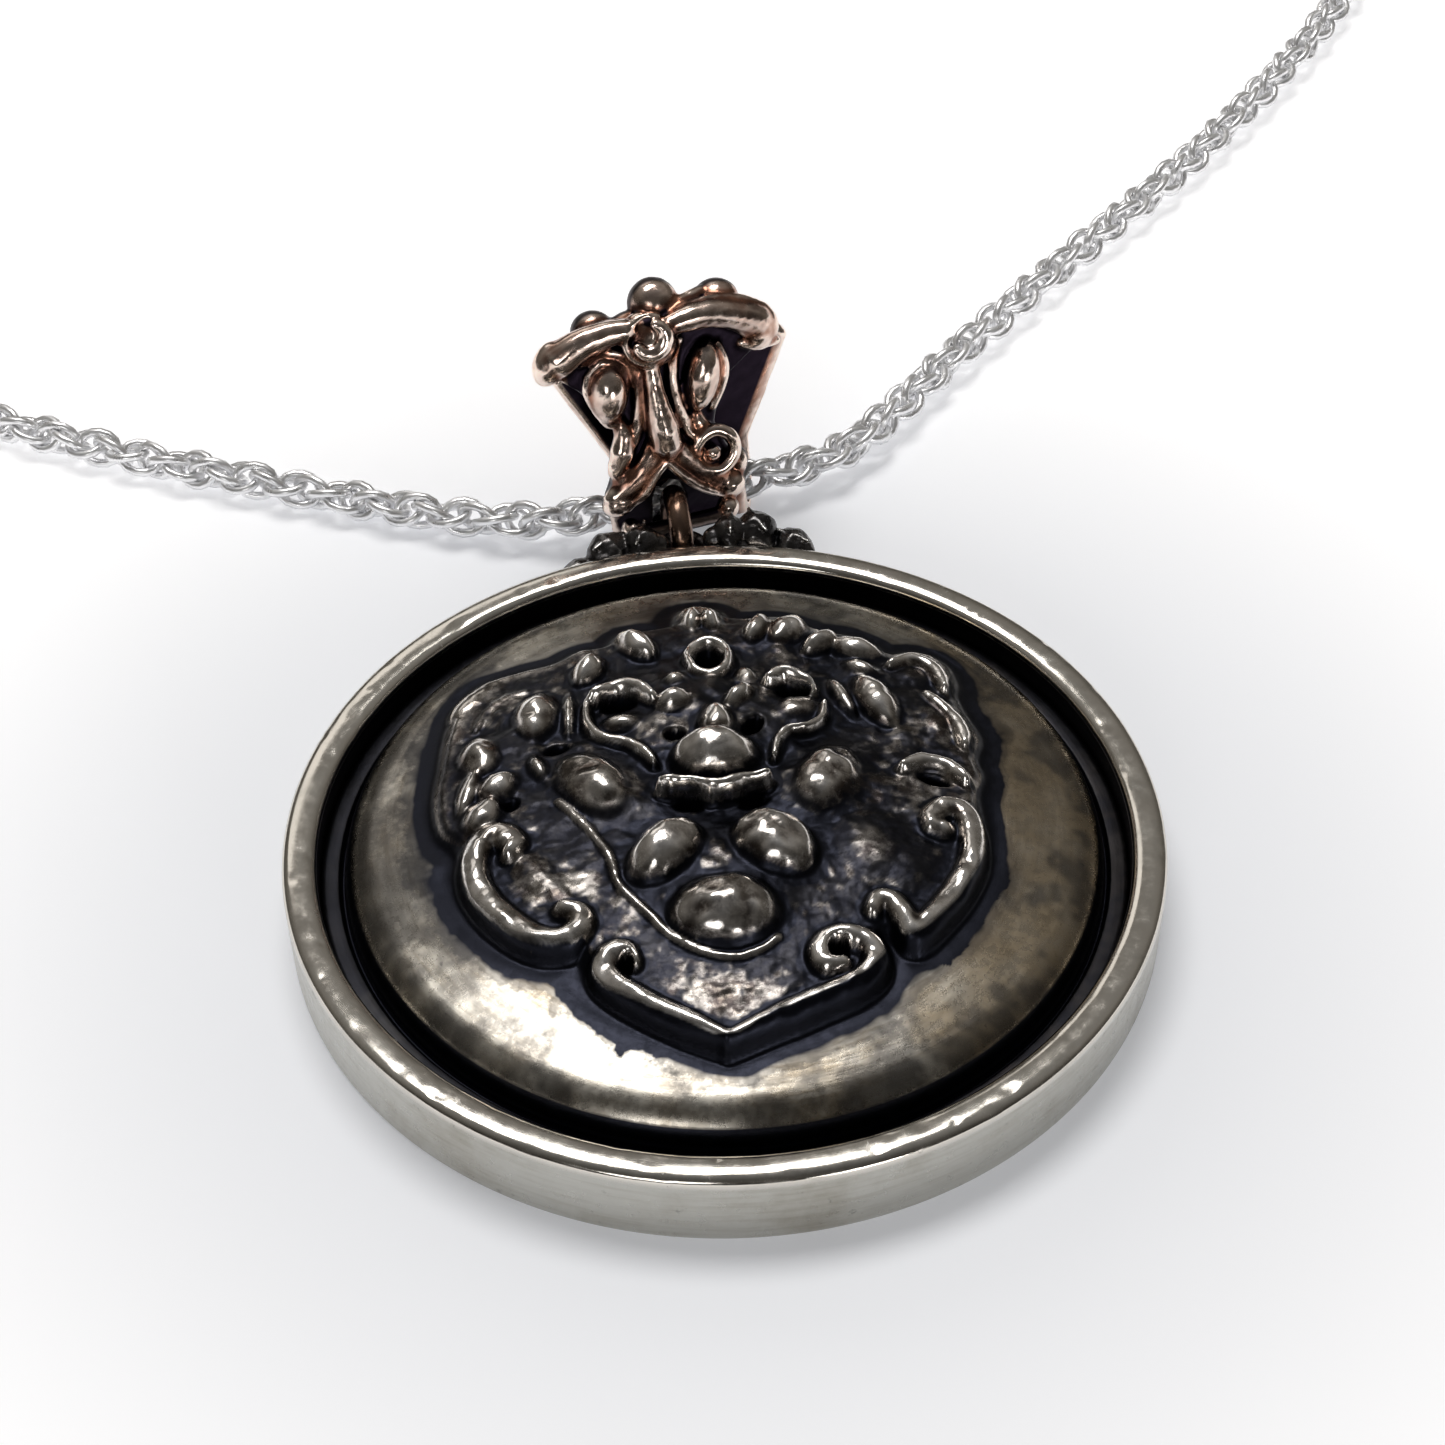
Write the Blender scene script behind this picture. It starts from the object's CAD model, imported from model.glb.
import bpy
import bmesh
import math
import numpy as np
from mathutils import Matrix, Vector
from mathutils.bvhtree import BVHTree


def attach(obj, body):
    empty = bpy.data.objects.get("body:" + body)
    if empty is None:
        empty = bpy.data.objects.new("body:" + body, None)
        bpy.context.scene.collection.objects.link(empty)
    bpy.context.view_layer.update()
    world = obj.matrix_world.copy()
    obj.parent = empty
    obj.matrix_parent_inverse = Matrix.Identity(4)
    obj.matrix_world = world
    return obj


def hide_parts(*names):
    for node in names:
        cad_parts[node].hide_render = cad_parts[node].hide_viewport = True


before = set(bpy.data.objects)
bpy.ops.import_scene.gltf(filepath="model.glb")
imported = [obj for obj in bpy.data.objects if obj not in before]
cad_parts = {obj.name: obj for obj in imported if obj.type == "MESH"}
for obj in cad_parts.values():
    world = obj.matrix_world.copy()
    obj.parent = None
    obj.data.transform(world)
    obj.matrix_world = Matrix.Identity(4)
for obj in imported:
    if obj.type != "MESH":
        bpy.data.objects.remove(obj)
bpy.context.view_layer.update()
scene = bpy.context.scene
mm = 0.001
print("frame loaded")


# Small tools for meshes, in millimetres until a piece is finished.
def newPiece(name, points, faces):
    mesh = bpy.data.meshes.new(name)
    mesh.from_pydata([tuple(point) for point in np.asarray(points) * mm], [], faces)
    mesh.polygons.foreach_set("use_smooth", [True] * len(mesh.polygons))
    mesh.update()
    piece = bpy.data.objects.new(name, mesh)
    scene.collection.objects.link(piece)
    return piece


def plainMesh(made):
    # What the object's live modifiers give, as a mesh of its own.
    return bpy.data.meshes.new_from_object(made.evaluated_get(bpy.context.evaluated_depsgraph_get()))


def addShade(piece, name, values):
    layer = piece.data.attributes.new(name, "FLOAT", "POINT")
    layer.data.foreach_set("value", np.asarray(values, np.float32))


def softStep(low, high, value):
    t = np.clip((value - low) / (high - low), 0, 1)
    return t * t * (3 - 2 * t)


def nodeMaker(tree):
    # The returned tool adds one node with its settings and inputs, and gives its outputs.
    def add(kind, inputs=None, **settings):
        node = tree.nodes.new(kind)
        for key, value in settings.items():
            setattr(node, key, value)
        for key, value in (inputs or {}).items():
            if isinstance(value, bpy.types.NodeSocket):
                tree.links.new(value, node.inputs[key])
            else:
                node.inputs[key].default_value = value
        return node.outputs

    return add


def smoothCurve(points, steps, closed=False):
    # A curve through all points, with even steps from one to the next.
    knots = np.array(points, float)
    if closed:
        knots = np.vstack([knots[-1], knots, knots[:2]])
    else:
        knots = np.vstack([2 * knots[0] - knots[1], knots, 2 * knots[-1] - knots[-2]])
    line = []
    for a, b, c, d in zip(knots, knots[1:], knots[2:], knots[3:]):
        for step in range(steps):
            t = step / steps
            bend = (2 * a - 5 * b + 4 * c - d) * t**2 + (3 * b - a - 3 * c + d) * t**3
            line.append(b + 0.5 * ((c - a) * t + bend))
    if not closed:
        line.append(knots[-2])
    return np.array(line)


def lattice(x, y, size, seed):
    # Smooth random swell from -1 to 1 over a plane, on cells of the given size.
    table = np.random.default_rng(seed).uniform(-1, 1, (256, 256))
    u, v = x / size + 100, y / size + 100
    i, j = np.floor(u).astype(int), np.floor(v).astype(int)
    fu, fv = softStep(0, 1, u - i), softStep(0, 1, v - j)
    low = table[i % 256, j % 256] * (1 - fu) + table[(i + 1) % 256, j % 256] * fu
    high = table[i % 256, (j + 1) % 256] * (1 - fu) + table[(i + 1) % 256, (j + 1) % 256] * fu
    return low * (1 - fv) + high * fv


def layered(x, y, layers):
    # Sum of swells, each given as weight, cell size and seed.
    return sum(weight * lattice(x, y, size, seed) for weight, size, seed in layers)


# Chain: interlocked oval links turned step by step along the route, as in a rope chain.
chain = {
    "route": [
        (-5.0, 186.0, 1.65), (-24.0, 182.5, 0.93), (-45.5, 171.5, 0.93), (-63.0, 153.0, 0.93),
        (-73.5, 129.5, 0.93), (-76.5, 103.5, 0.93), (-72.0, 79.0, 0.93), (-61.0, 57.5, 0.93),
        (-47.0, 41.5, 0.93), (-33.5, 31.2, 0.93), (-24.0, 26.5, 0.93), (-16.5, 23.6, 0.93),
        (-12.2, 21.95, 0.93), (-8.8, 20.75, 1.08), (-5.1, 19.92, 1.43), (2.6, 22.2, 1.43),
        (5.2, 22.8, 1.4), (7.4, 24.4, 1.2), (9.3, 26.85, 0.98), (12.8, 31.2, 0.93), (18.8, 37.9, 0.93),
        (27.5, 47.2, 0.93), (38.0, 61.5, 0.93), (46.5, 80.5, 0.93), (51.5, 102.0, 0.93),
        (51.0, 124.5, 0.93), (44.5, 146.5, 0.93), (32.5, 165.5, 0.93), (19.0, 179.0, 0.93),
        (4.8, 184.75, 1.65),
    ],
    "pitch": 0.68,  # from link to link
    "linkRadius": 0.685,
    "oval": 1.28,  # link's length to its width
    "wireRadius": 0.19,
    "twist": 229.9,  # degrees from link to link
    "tilt": 12.3,
    "yaw": -10.0,
    "sides": 14,
    "wireSides": 6,
}


def chainTree(material):
    tree = bpy.data.node_groups.new("ropeChain", "GeometryNodeTree")
    tree.interface.new_socket("Geometry", in_out="OUTPUT", socket_type="NodeSocketGeometry")
    tree.interface.new_socket("Geometry", in_out="INPUT", socket_type="NodeSocketGeometry")
    sizes = [("Links", "NodeSocketInt"), ("Link Radius", "NodeSocketFloat"), ("Oval", "NodeSocketFloat"),
             ("Wire Radius", "NodeSocketFloat"), ("Twist", "NodeSocketFloat"), ("Tilt", "NodeSocketFloat"),
             ("Yaw", "NodeSocketFloat")]
    for name, kind in sizes:
        tree.interface.new_socket(name, in_out="INPUT", socket_type=kind)
    add = nodeMaker(tree)
    given = add("NodeGroupInput")
    # One link: an oval ring whose length lies near the chain's direction.
    ringSizes = {"Resolution": chain["sides"], "Radius": given["Link Radius"]}
    ringCurve = add("GeometryNodeCurvePrimitiveCircle", ringSizes)
    stretch = add("ShaderNodeCombineXYZ", {"X": 1.0, "Y": given["Oval"], "Z": 1.0})
    oval = add("GeometryNodeTransform", {"Geometry": ringCurve["Curve"], "Scale": stretch["Vector"]})
    wireSizes = {"Resolution": chain["wireSides"], "Radius": given["Wire Radius"]}
    wire = add("GeometryNodeCurvePrimitiveCircle", wireSizes)
    link = add("GeometryNodeCurveToMesh", {"Curve": oval["Geometry"], "Profile Curve": wire["Curve"]})
    # Stood along Z, turned a little about its own length, then leant.
    quarter = math.pi / 2
    upright = add("GeometryNodeTransform", {"Geometry": link["Mesh"], "Rotation": (quarter, 0, quarter)})
    yawed = add("ShaderNodeCombineXYZ", {"X": 0.0, "Y": 0.0, "Z": given["Yaw"]})
    swung = add("GeometryNodeTransform", {"Geometry": upright["Geometry"], "Rotation": yawed["Vector"]})
    lean = add("ShaderNodeCombineXYZ", {"X": 0.0, "Y": given["Tilt"], "Z": 0.0})
    leant = add("GeometryNodeTransform", {"Geometry": swung["Geometry"], "Rotation": lean["Vector"]})
    # Links along the route, each turned about the chain's direction by one more twist.
    route = {"Curve": given["Geometry"], "Count": given["Links"]}
    spots = add("GeometryNodeCurveToPoints", route, mode="COUNT")
    seats = {"Points": spots["Points"], "Instance": leant["Geometry"], "Rotation": spots["Rotation"]}
    placed = add("GeometryNodeInstanceOnPoints", seats)
    number = add("GeometryNodeInputIndex")
    turn = add("ShaderNodeMath", {0: number["Index"], 1: given["Twist"]}, operation="MULTIPLY")
    spin = add("ShaderNodeCombineXYZ", {"X": 0.0, "Y": 0.0, "Z": turn["Value"]})
    spun = add("GeometryNodeRotateInstances", {"Instances": placed["Instances"], "Rotation": spin["Vector"]})
    real = add("GeometryNodeRealizeInstances", {"Geometry": spun["Instances"]})
    smooth = add("GeometryNodeSetShadeSmooth", {"Geometry": real["Geometry"]})
    finished = add("GeometryNodeSetMaterial", {"Geometry": smooth["Geometry"], "Material": material})
    add("NodeGroupOutput", {"Geometry": finished["Geometry"]})
    return tree


def makeChain(material):
    route = bpy.data.curves.new("chainRoute", "CURVE")
    route.dimensions = "3D"
    route.resolution_u = 24
    line = route.splines.new("NURBS")
    line.points.add(len(chain["route"]) - 1)
    for knot, place in zip(line.points, chain["route"]):
        knot.co = (*(Vector(place) * mm), 1)
    line.order_u = 3
    line.use_endpoint_u = True
    guide = bpy.data.objects.new("chainGuide", route)
    scene.collection.objects.link(guide)
    length = sum(part.calc_length() for part in route.splines) / mm
    links = round(length / chain["pitch"])
    tree = chainTree(material)
    live = guide.modifiers.new("links", "NODES")
    live.node_group = tree
    values = {"Links": links, "Link Radius": chain["linkRadius"] * mm, "Oval": chain["oval"],
              "Wire Radius": chain["wireRadius"] * mm, "Twist": math.radians(chain["twist"]),
              "Tilt": math.radians(chain["tilt"]), "Yaw": math.radians(chain["yaw"])}
    for item in tree.interface.items_tree:
        if item.in_out == "INPUT" and item.name in values:
            live[item.identifier] = values[item.name]
    mesh = plainMesh(guide)
    mesh.name = "ropeLinks"
    piece = bpy.data.objects.new("ropeLinks", mesh)
    scene.collection.objects.link(piece)
    bpy.data.objects.remove(guide)
    print("chain", round(length, 1), "mm,", links, "links,", len(mesh.polygons), "faces")
    return piece


# Domed plate: dome, shoulder, groove and flange, with the mask ornament raised on it.
plate = {
    "domeCurve": 52.0,
    "crown": 4.97,
    "reliefRadius": 12.4,  # the dense middle of the mesh
    "cells": 288,
    "gridStep": 0.06,
    "gridReach": 14.9,
    "fieldRise": 0.4,
    "ridgeScale": 0.84,  # ornament heights as a share of their tables
    "swell": 1.1,  # ornament widths as a share of their tables
    "seenLevel": 4.85,  # the level plane in which the tables' places were read
    "seenSlope": 0.967,
    "grain": 0.035,
    "lumps": 0.12,  # unevenness of the cast ground
    "threadWidth": 0.28,  # straps under this width are thin bright lines
    "haloLeast": 0.8,  # the dark patina reaches at least this far from the ornament
    # Random layers of relief and patina: weight, cell size, seed.
    "lumpLayers": [(0.6, 0.85, 71), (0.4, 0.42, 72)],
    "grainLayers": [(0.6, 0.32, 3), (0.4, 0.16, 5)],
    "domeLayers": [(0.012, 1.7, 9), (0.008, 0.8, 11)],
    "haloLayers": [(0.6, 1.9, 21), (0.3, 0.6, 22), (0.14, 0.2, 23)],
    "cloudLayers": [(0.6, 1.4, 25), (0.35, 0.45, 26)],
    "dustLayers": [(0.6, 1.5, 33), (0.5, 0.34, 34), (0.3, 0.14, 35)],
    # Paler dusty patches of the field: middle, half width, half height, amount.
    "dusty": [(-5.6, -4.1, 1.6, 1.4, 0.8), (0, -9.2, 2.4, 0.9, 0.55)],
    # The dome's rounded shoulder, and the groove and flange outside it.
    "shoulderRadius": 12.24,
    "shoulderLevel": 1.86,
    "shoulderRound": 1.6,
    "grooveRadius": 13.86,
    "grooveLevel": 1.71,
    "flangeLevel": 1.97,
    "flangeRadius": 14.685,
    "underside": 1.21,
}
# Outline of the ornament's field, as seen.
fieldEdge = [
    (-0.6, -11.8), (0.8, -10.95), (2.6, -10.1), (4.2, -9.2), (5.0, -8.0), (4.95, -7.1), (5.4, -7.3),
    (6.1, -7.5), (7.2, -6.5), (8.2, -5.1), (8.9, -3.6), (9.1, -2.0), (9.1, -0.7), (9.4, 0.4), (9.3, 1.3),
    (9.6, 2.4), (9.2, 3.8), (9.0, 4.8), (9.1, 5.6), (8.8, 6.8), (7.8, 7.4), (6.7, 7.3), (6.2, 8.0),
    (5.2, 8.6), (4.1, 8.7), (3.6, 9.3), (2.8, 9.8), (1.7, 9.8), (0.9, 9.9), (0.3, 10.6), (-0.9, 10.6),
    (-1.3, 9.5), (-2.2, 9.3), (-3.2, 9.4), (-3.9, 8.6), (-5.0, 8.4), (-5.9, 7.8), (-7.4, 7.4),
    (-8.8, 6.8), (-9.6, 5.6), (-10.0, 4.0), (-10.2, 2.4), (-10.4, 0.8), (-10.2, -0.9), (-9.5, -2.0),
    (-9.5, -3.4), (-8.9, -4.9), (-7.8, -6.2), (-6.4, -6.9), (-5.6, -6.9), (-5.2, -7.5), (-5.0, -8.5),
    (-3.9, -9.6), (-2.2, -10.8),
]
# Straps: rise, width, points as seen.
straps = [
    (1.15, 0.85, [(-0.6, -11.35), (0.9, -10.5), (2.6, -9.65), (3.9, -9.0), (4.6, -8.2), (4.5, -7.3),
     (3.9, -6.85), (3.15, -6.9), (2.75, -7.5), (3.0, -8.1), (3.5, -8.15)]),
    (1.1, 0.85, [(-0.6, -11.35), (-1.9, -10.4), (-3.1, -9.5), (-4.1, -8.6), (-4.6, -7.8), (-4.4, -7.1),
     (-3.9, -6.95), (-3.6, -7.4)]),
    (1.1, 0.95, [(-7.7, -2.1), (-7.5, -1.5), (-8.1, -1.05), (-8.8, -1.7), (-8.95, -3.0), (-8.55, -4.2),
     (-7.8, -5.3), (-6.9, -6.1), (-6.0, -6.25), (-5.4, -5.8), (-5.35, -5.1), (-5.9, -4.85)]),
    (1.1, 0.9, [(4.7, -5.7), (5.0, -5.25), (5.5, -5.5), (5.8, -6.2), (6.1, -6.95), (7.0, -6.05),
     (7.8, -5.0), (8.45, -3.7), (8.65, -2.4), (8.5, -1.4), (7.9, -1.0), (7.3, -1.35), (7.2, -1.9)]),
    (1.05, 0.65, [(6.7, 6.5), (7.4, 6.85), (8.1, 6.6), (8.5, 6.0), (8.65, 5.2)]),
    (0.95, 0.6, [(7.9, 4.8), (8.5, 4.0), (8.95, 3.0), (9.0, 2.1)]),
    (1.05, 0.6, [(6.5, 1.1), (7.3, 1.4), (8.2, 1.05), (8.75, 0.2)]),
    (0.62, 0.3, [(-8.9, 4.1), (-8.5, 5.1), (-7.8, 5.8), (-7.0, 6.1)]),
    (0.6, 0.28, [(-7.9, 3.4), (-7.9, 4.4), (-7.5, 5.2)]),
    (0.73, 0.26, [(-5.9, 0.2), (-4.9, -1.2), (-4.2, -2.6), (-3.9, -4.0), (-3.0, -5.4), (-2.2, -6.6),
     (-1.2, -7.4), (-0.1, -7.7), (0.8, -7.4), (1.4, -6.9)]),
    (1.15, 0.42, [(-4.75, 5.3), (-4.7, 4.2), (-4.2, 3.45), (-3.3, 3.1), (-2.7, 2.5), (-2.4, 2.0)]),
    (1.55, 0.62, [(-4.5, 5.7), (-3.6, 6.15), (-2.8, 6.0), (-2.3, 5.4)]),
    (1.5, 0.62, [(2.0, 6.0), (2.6, 6.3), (3.3, 6.0), (3.6, 5.5)]),
    (1.15, 0.36, [(1.9, 1.9), (2.1, 2.7), (2.5, 3.2), (3.2, 3.3), (3.8, 3.8), (4.0, 4.6)]),
    (1.75, 0.52, [(-2.25, 1.0), (-1.3, 0.92), (-0.3, 0.62), (0.7, 0.92), (1.6, 1.1)]),
    (1.25, 0.5, [(-0.85, 7.4), (-0.63, 6.75), (-0.1, 6.5), (0.43, 6.75), (0.65, 7.4), (0.43, 8.05),
     (-0.1, 8.3), (-0.63, 8.05), (-0.85, 7.4), (-0.63, 6.75)]),
]
# Mounds: place as seen, length, width, turn, rise, and whether the ends are pointed.
mounds = [
    (-0.2, 2.0, 3.0, 2.1, 0, 2.05, 0), (-0.1, 3.3, 2.4, 1.4, 92, 1.8, 0),
    (-0.15, 5.6, 2.2, 1.2, 90, 1.05, 0), (-1.55, 4.7, 1.45, 1.2, 0, 1.65, 0),
    (0.85, 4.8, 1.7, 0.9, 50, 1.6, 0), (-1.4, 6.0, 1.2, 0.9, 20, 1.1, 0),
    (1.2, 6.0, 1.2, 0.9, 100, 1.1, 0), (-3.4, 3.9, 1.8, 1.1, 0, 1.05, 0),
    (2.95, 4.2, 1.8, 1.4, 20, 1.1, 0), (-4.65, 0.9, 3.5, 2.2, -57, 1.4, 0),
    (3.65, 0.6, 3.4, 2.1, 62, 1.5, 0), (-2.2, -2.6, 3.0, 2.1, 42, 1.95, 0),
    (1.55, -2.5, 3.0, 2.5, -38, 2.05, 0), (-0.35, -5.5, 3.6, 2.7, 0, 2.0, 0),
    (-2.75, 8.3, 2.1, 1.0, -52, 1.35, 1), (-4.6, 7.0, 1.8, 1.0, 62, 1.25, 1),
    (-6.6, 4.6, 2.8, 1.4, 84, 1.3, 1), (-5.4, 4.6, 2.7, 0.5, 88, 0.95, 1),
    (1.9, 8.8, 1.8, 0.85, 62, 1.3, 1), (3.0, 8.7, 2.1, 1.3, 52, 1.2, 1),
    (4.2, 7.8, 1.8, 0.85, 35, 1.25, 1), (5.5, 7.4, 2.1, 1.2, -18, 1.15, 1),
    (5.9, 4.5, 2.9, 1.3, 112, 1.3, 1), (4.7, 4.7, 2.5, 0.6, 108, 1.0, 1),
    (5.6, 6.2, 1.7, 0.9, 150, 0.95, 1), (7.4, 5.7, 1.6, 1.3, 60, 0.7, 1),
    (8.0, 3.3, 2.2, 0.9, 105, 0.7, 1), (-8.7, 2.6, 2.4, 1.3, 96, 1.1, 1),
    (-8.1, 1.0, 1.7, 1.1, 40, 1.15, 1), (-9.1, 0.9, 2.6, 0.7, 74, 0.95, 1),
    (-8.6, -0.4, 1.9, 1.2, 62, 1.05, 1), (-6.6, 1.9, 1.6, 0.6, 108, 0.85, 1),
    (-0.55, 9.6, 1.5, 0.7, 84, 1.15, 1), (0.15, 9.5, 1.5, 0.7, 98, 1.1, 1),
    (-7.85, -1.75, 1.0, 0.9, 0, 1.15, 0), (7.6, -2.4, 1.1, 1.0, 0, 0.95, 0),
    (4.7, -2.7, 2.8, 2.2, 100, 0.72, 0), (-6.7, -3.5, 3.6, 1.2, -55, 0.66, 1),
    (-9.0, 5.9, 2.2, 0.9, 45, 0.6, 1), (6.4, -3.9, 3.0, 1.6, 62, 0.62, 0),
    (4.4, 0.0, 1.8, 0.8, 60, 0.8, 1),
]
# Low swellings under groups of forms: place as seen, length, width, turn, rise above the field.
swells = [
    (-0.1, 4.6, 8.8, 6.6, 0, 0.46), (-4.4, 1.2, 5.6, 3.6, -57, 0.32), (3.5, 0.9, 5.4, 3.6, 62, 0.36),
    (-0.3, -3.5, 6.4, 6.0, 0, 0.42), (-7.4, 3.2, 7.0, 3.4, 78, 0.18), (6.6, 5.2, 7.4, 3.6, 122, 0.2),
    (0.5, 8.7, 8.6, 2.6, 0, 0.18), (5.2, -2.9, 4.4, 3.2, 80, 0.25),
]
# Hollows: place as seen, length, width, turn, floor above the dome.
hollows = [
    (-3.6, 5.1, 2.0, 0.7, 0, 0.2), (2.9, 5.2, 1.7, 0.7, -5, 0.2), (-1.6, 3.3, 1.2, 0.9, 0, 0.55),
    (1.25, 3.5, 1.7, 0.9, 55, 0.5), (-0.1, 7.35, 1.05, 1.05, 0, 0.0), (3.4, -7.55, 0.9, 0.9, 0, 0.15),
    (-3.8, -7.6, 0.6, 0.9, 0, 0.2), (-1.3, -0.1, 1.8, 0.7, -15, 0.35), (1.0, -0.1, 1.8, 0.7, 15, 0.35),
    (7.6, 0.45, 1.9, 0.6, -20, 0.25), (-5.9, 3.1, 1.8, 0.8, 10, 0.5), (-7.6, 0.4, 1.1, 0.8, 30, 0.5),
]


def domeHeight(x, y):
    return plate["crown"] - plate["domeCurve"] + np.sqrt(plate["domeCurve"] ** 2 - x**2 - y**2)


def seenPlace(x, y, rise):
    # A raised place looks further back than it is, so it is moved forward.
    height = domeHeight(x, y - 0.5) + rise
    return x, y - plate["seenSlope"] * (height - plate["seenLevel"])


def smoothMax(a, b, soft):
    share = np.clip(0.5 + 0.5 * (b - a) / soft, 0, 1)
    return a + (b - a) * share + soft * share * (1 - share)


def pathDistance(x, y, path):
    best, along = np.full(x.shape, 1e9), np.zeros(x.shape)
    for k, ((ax, ay), (bx, by)) in enumerate(zip(path, path[1:])):
        dx, dy = bx - ax, by - ay
        t = np.clip(((x - ax) * dx + (y - ay) * dy) / (dx * dx + dy * dy + 1e-12), 0, 1)
        gap = np.hypot(x - ax - t * dx, y - ay - t * dy)
        nearer = gap < best
        best[nearer] = gap[nearer]
        along[nearer] = (k + t[nearer]) / (len(path) - 1)
    return best, along


def blurred(field, size):
    # Gaussian blur over the whole grid, by its frequencies.
    rows, columns = np.fft.fftfreq(field.shape[0]), np.fft.fftfreq(field.shape[1])
    soft = np.exp(-2 * (math.pi * size) ** 2 * (rows[:, None] ** 2 + columns[None] ** 2))
    return np.fft.ifft2(np.fft.fft2(field) * soft).real


def fieldDepth(x, y):
    # How far inside the ornament's field each place lies, negative outside it.
    edge = smoothCurve([seenPlace(a, b, plate["fieldRise"]) for a, b in fieldEdge], 4, True)
    loop = np.vstack([edge, edge[:1]])
    gap, _ = pathDistance(x, y, loop)
    inside = np.zeros(x.shape, bool)
    for (ax, ay), (bx, by) in zip(loop, loop[1:]):
        if ay != by:
            inside ^= ((ay > y) != (by > y)) & (x < (bx - ax) * (y - ay) / (by - ay) + ax)
    return np.where(inside, gap, -gap)


def ornamentHeights(x, y, depth):
    # Heights above the dome over the whole grid, and where a strap is a thin bright line.
    step, reach, count = plate["gridStep"], plate["gridReach"], len(x)
    high = plate["fieldRise"] * softStep(-0.22, 0.32, depth)
    high -= 0.08 * np.exp(-(((depth + 0.45) / 0.4) ** 2))

    def window(cx, cy, size):
        # The part of the grid round one form.
        i = np.clip(((np.array([cx, cy]) - size + reach) / step).astype(int), 0, count - 2)
        j = np.clip(((np.array([cx, cy]) + size + reach) / step).astype(int) + 2, 2, count)
        return slice(i[1], j[1]), slice(i[0], j[0])

    def turnedShare(place, length, width, turn, rise):
        # Squared shares of the form's half length and half width.
        cx, cy = seenPlace(*place, rise)
        spot = window(cx, cy, length)
        a = math.radians(turn)
        u = (x[spot] - cx) * math.cos(a) + (y[spot] - cy) * math.sin(a)
        v = (y[spot] - cy) * math.cos(a) - (x[spot] - cx) * math.sin(a)
        return spot, (2 * u / length) ** 2, (2 * v / width) ** 2

    for mx, my, length, width, turn, rise in swells:
        spot, along, across = turnedShare((mx, my), length, width, turn, 0.5 + rise)
        share = along + across
        body = plate["fieldRise"] - 0.1 + (rise + 0.1) * (1 - share) - 3 * np.clip(share - 1, 0, 9)
        high[spot] = smoothMax(high[spot], body, 0.16)
    lumps = plate["lumps"] * layered(x, y, plate["lumpLayers"])
    high += lumps * softStep(0.1, 0.9, depth) * (0.4 + 0.6 * softStep(-2.5, 1.5, y))
    for mx, my, length, width, turn, rise, pointed in mounds:
        rise = plate["fieldRise"] + (rise - 0.45) * plate["ridgeScale"] * (1.15 if pointed else 1)
        wide = width * plate["swell"] * (1.3 if pointed else 1)
        spot, along, across = turnedShare((mx, my), length * plate["swell"], wide, turn, 0.36 + 0.2 * rise)
        if pointed:
            across = across / (1 - 0.5 * np.clip(along, 0, 1))
        share = along + across
        body = rise * np.sqrt(np.clip(1 - share * 0.93, 0, 1)) - 2 * np.clip(share - 1.07, 0, 9)
        if pointed:
            body -= 0.13 * rise * np.sqrt(np.clip(across, 0, 1))
        high[spot] = smoothMax(high[spot], body, 0.2)
    thread = np.zeros_like(high)
    for rise, width, points in straps:
        thin = width < plate["threadWidth"]
        rise, width = rise * plate["ridgeScale"], width * plate["swell"]
        path = smoothCurve([seenPlace(px, py, 0.95 * rise) for px, py in points], 6)
        middle, size = (path.min(0) + path.max(0)) / 2, np.ptp(path, axis=0).max() / 2 + width
        spot = window(*middle, size)
        gap, along = pathDistance(x[spot], y[spot], path)
        taper = width * (0.62 + 0.38 * np.clip(6 * np.minimum(along, 1 - along) + 0.15, 0, 1))
        share = (2 * gap / taper) ** 2
        body = rise * (1 - 0.36 * np.clip(share, 0, 1.15)) - 1.7 * np.clip(share - 1, 0, 9)
        high[spot] = smoothMax(high[spot], body, 0.16)
        if thin:
            thread[spot] = np.maximum(thread[spot], softStep(0.17, 0.07, gap))
    for hx, hy, length, width, turn, floor in hollows:
        spot, along, across = turnedShare((hx, hy), length * 1.3, width * 1.3, turn, 0.8)
        bowl = floor + 2.2 * np.clip((along + across) * 1.69 - 0.35, -0.3, 9)
        high[spot] = -smoothMax(-high[spot], -bowl, 0.12)
    high = blurred(high, 0.06 / step)
    rough = plate["grain"] * layered(x, y, plate["grainLayers"])
    high += rough * softStep(0, 0.4, depth) * (1 - 0.7 * softStep(0.6, 1.0, high))
    tooled = 0.10 * lattice(x + 0.4 * y, y, 0.8, 73) + 0.05 * lattice(x, y, 0.38, 74)
    high += tooled * softStep(0.6, 1.0, high)
    high += layered(x, y, plate["domeLayers"])
    return high, thread


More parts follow.
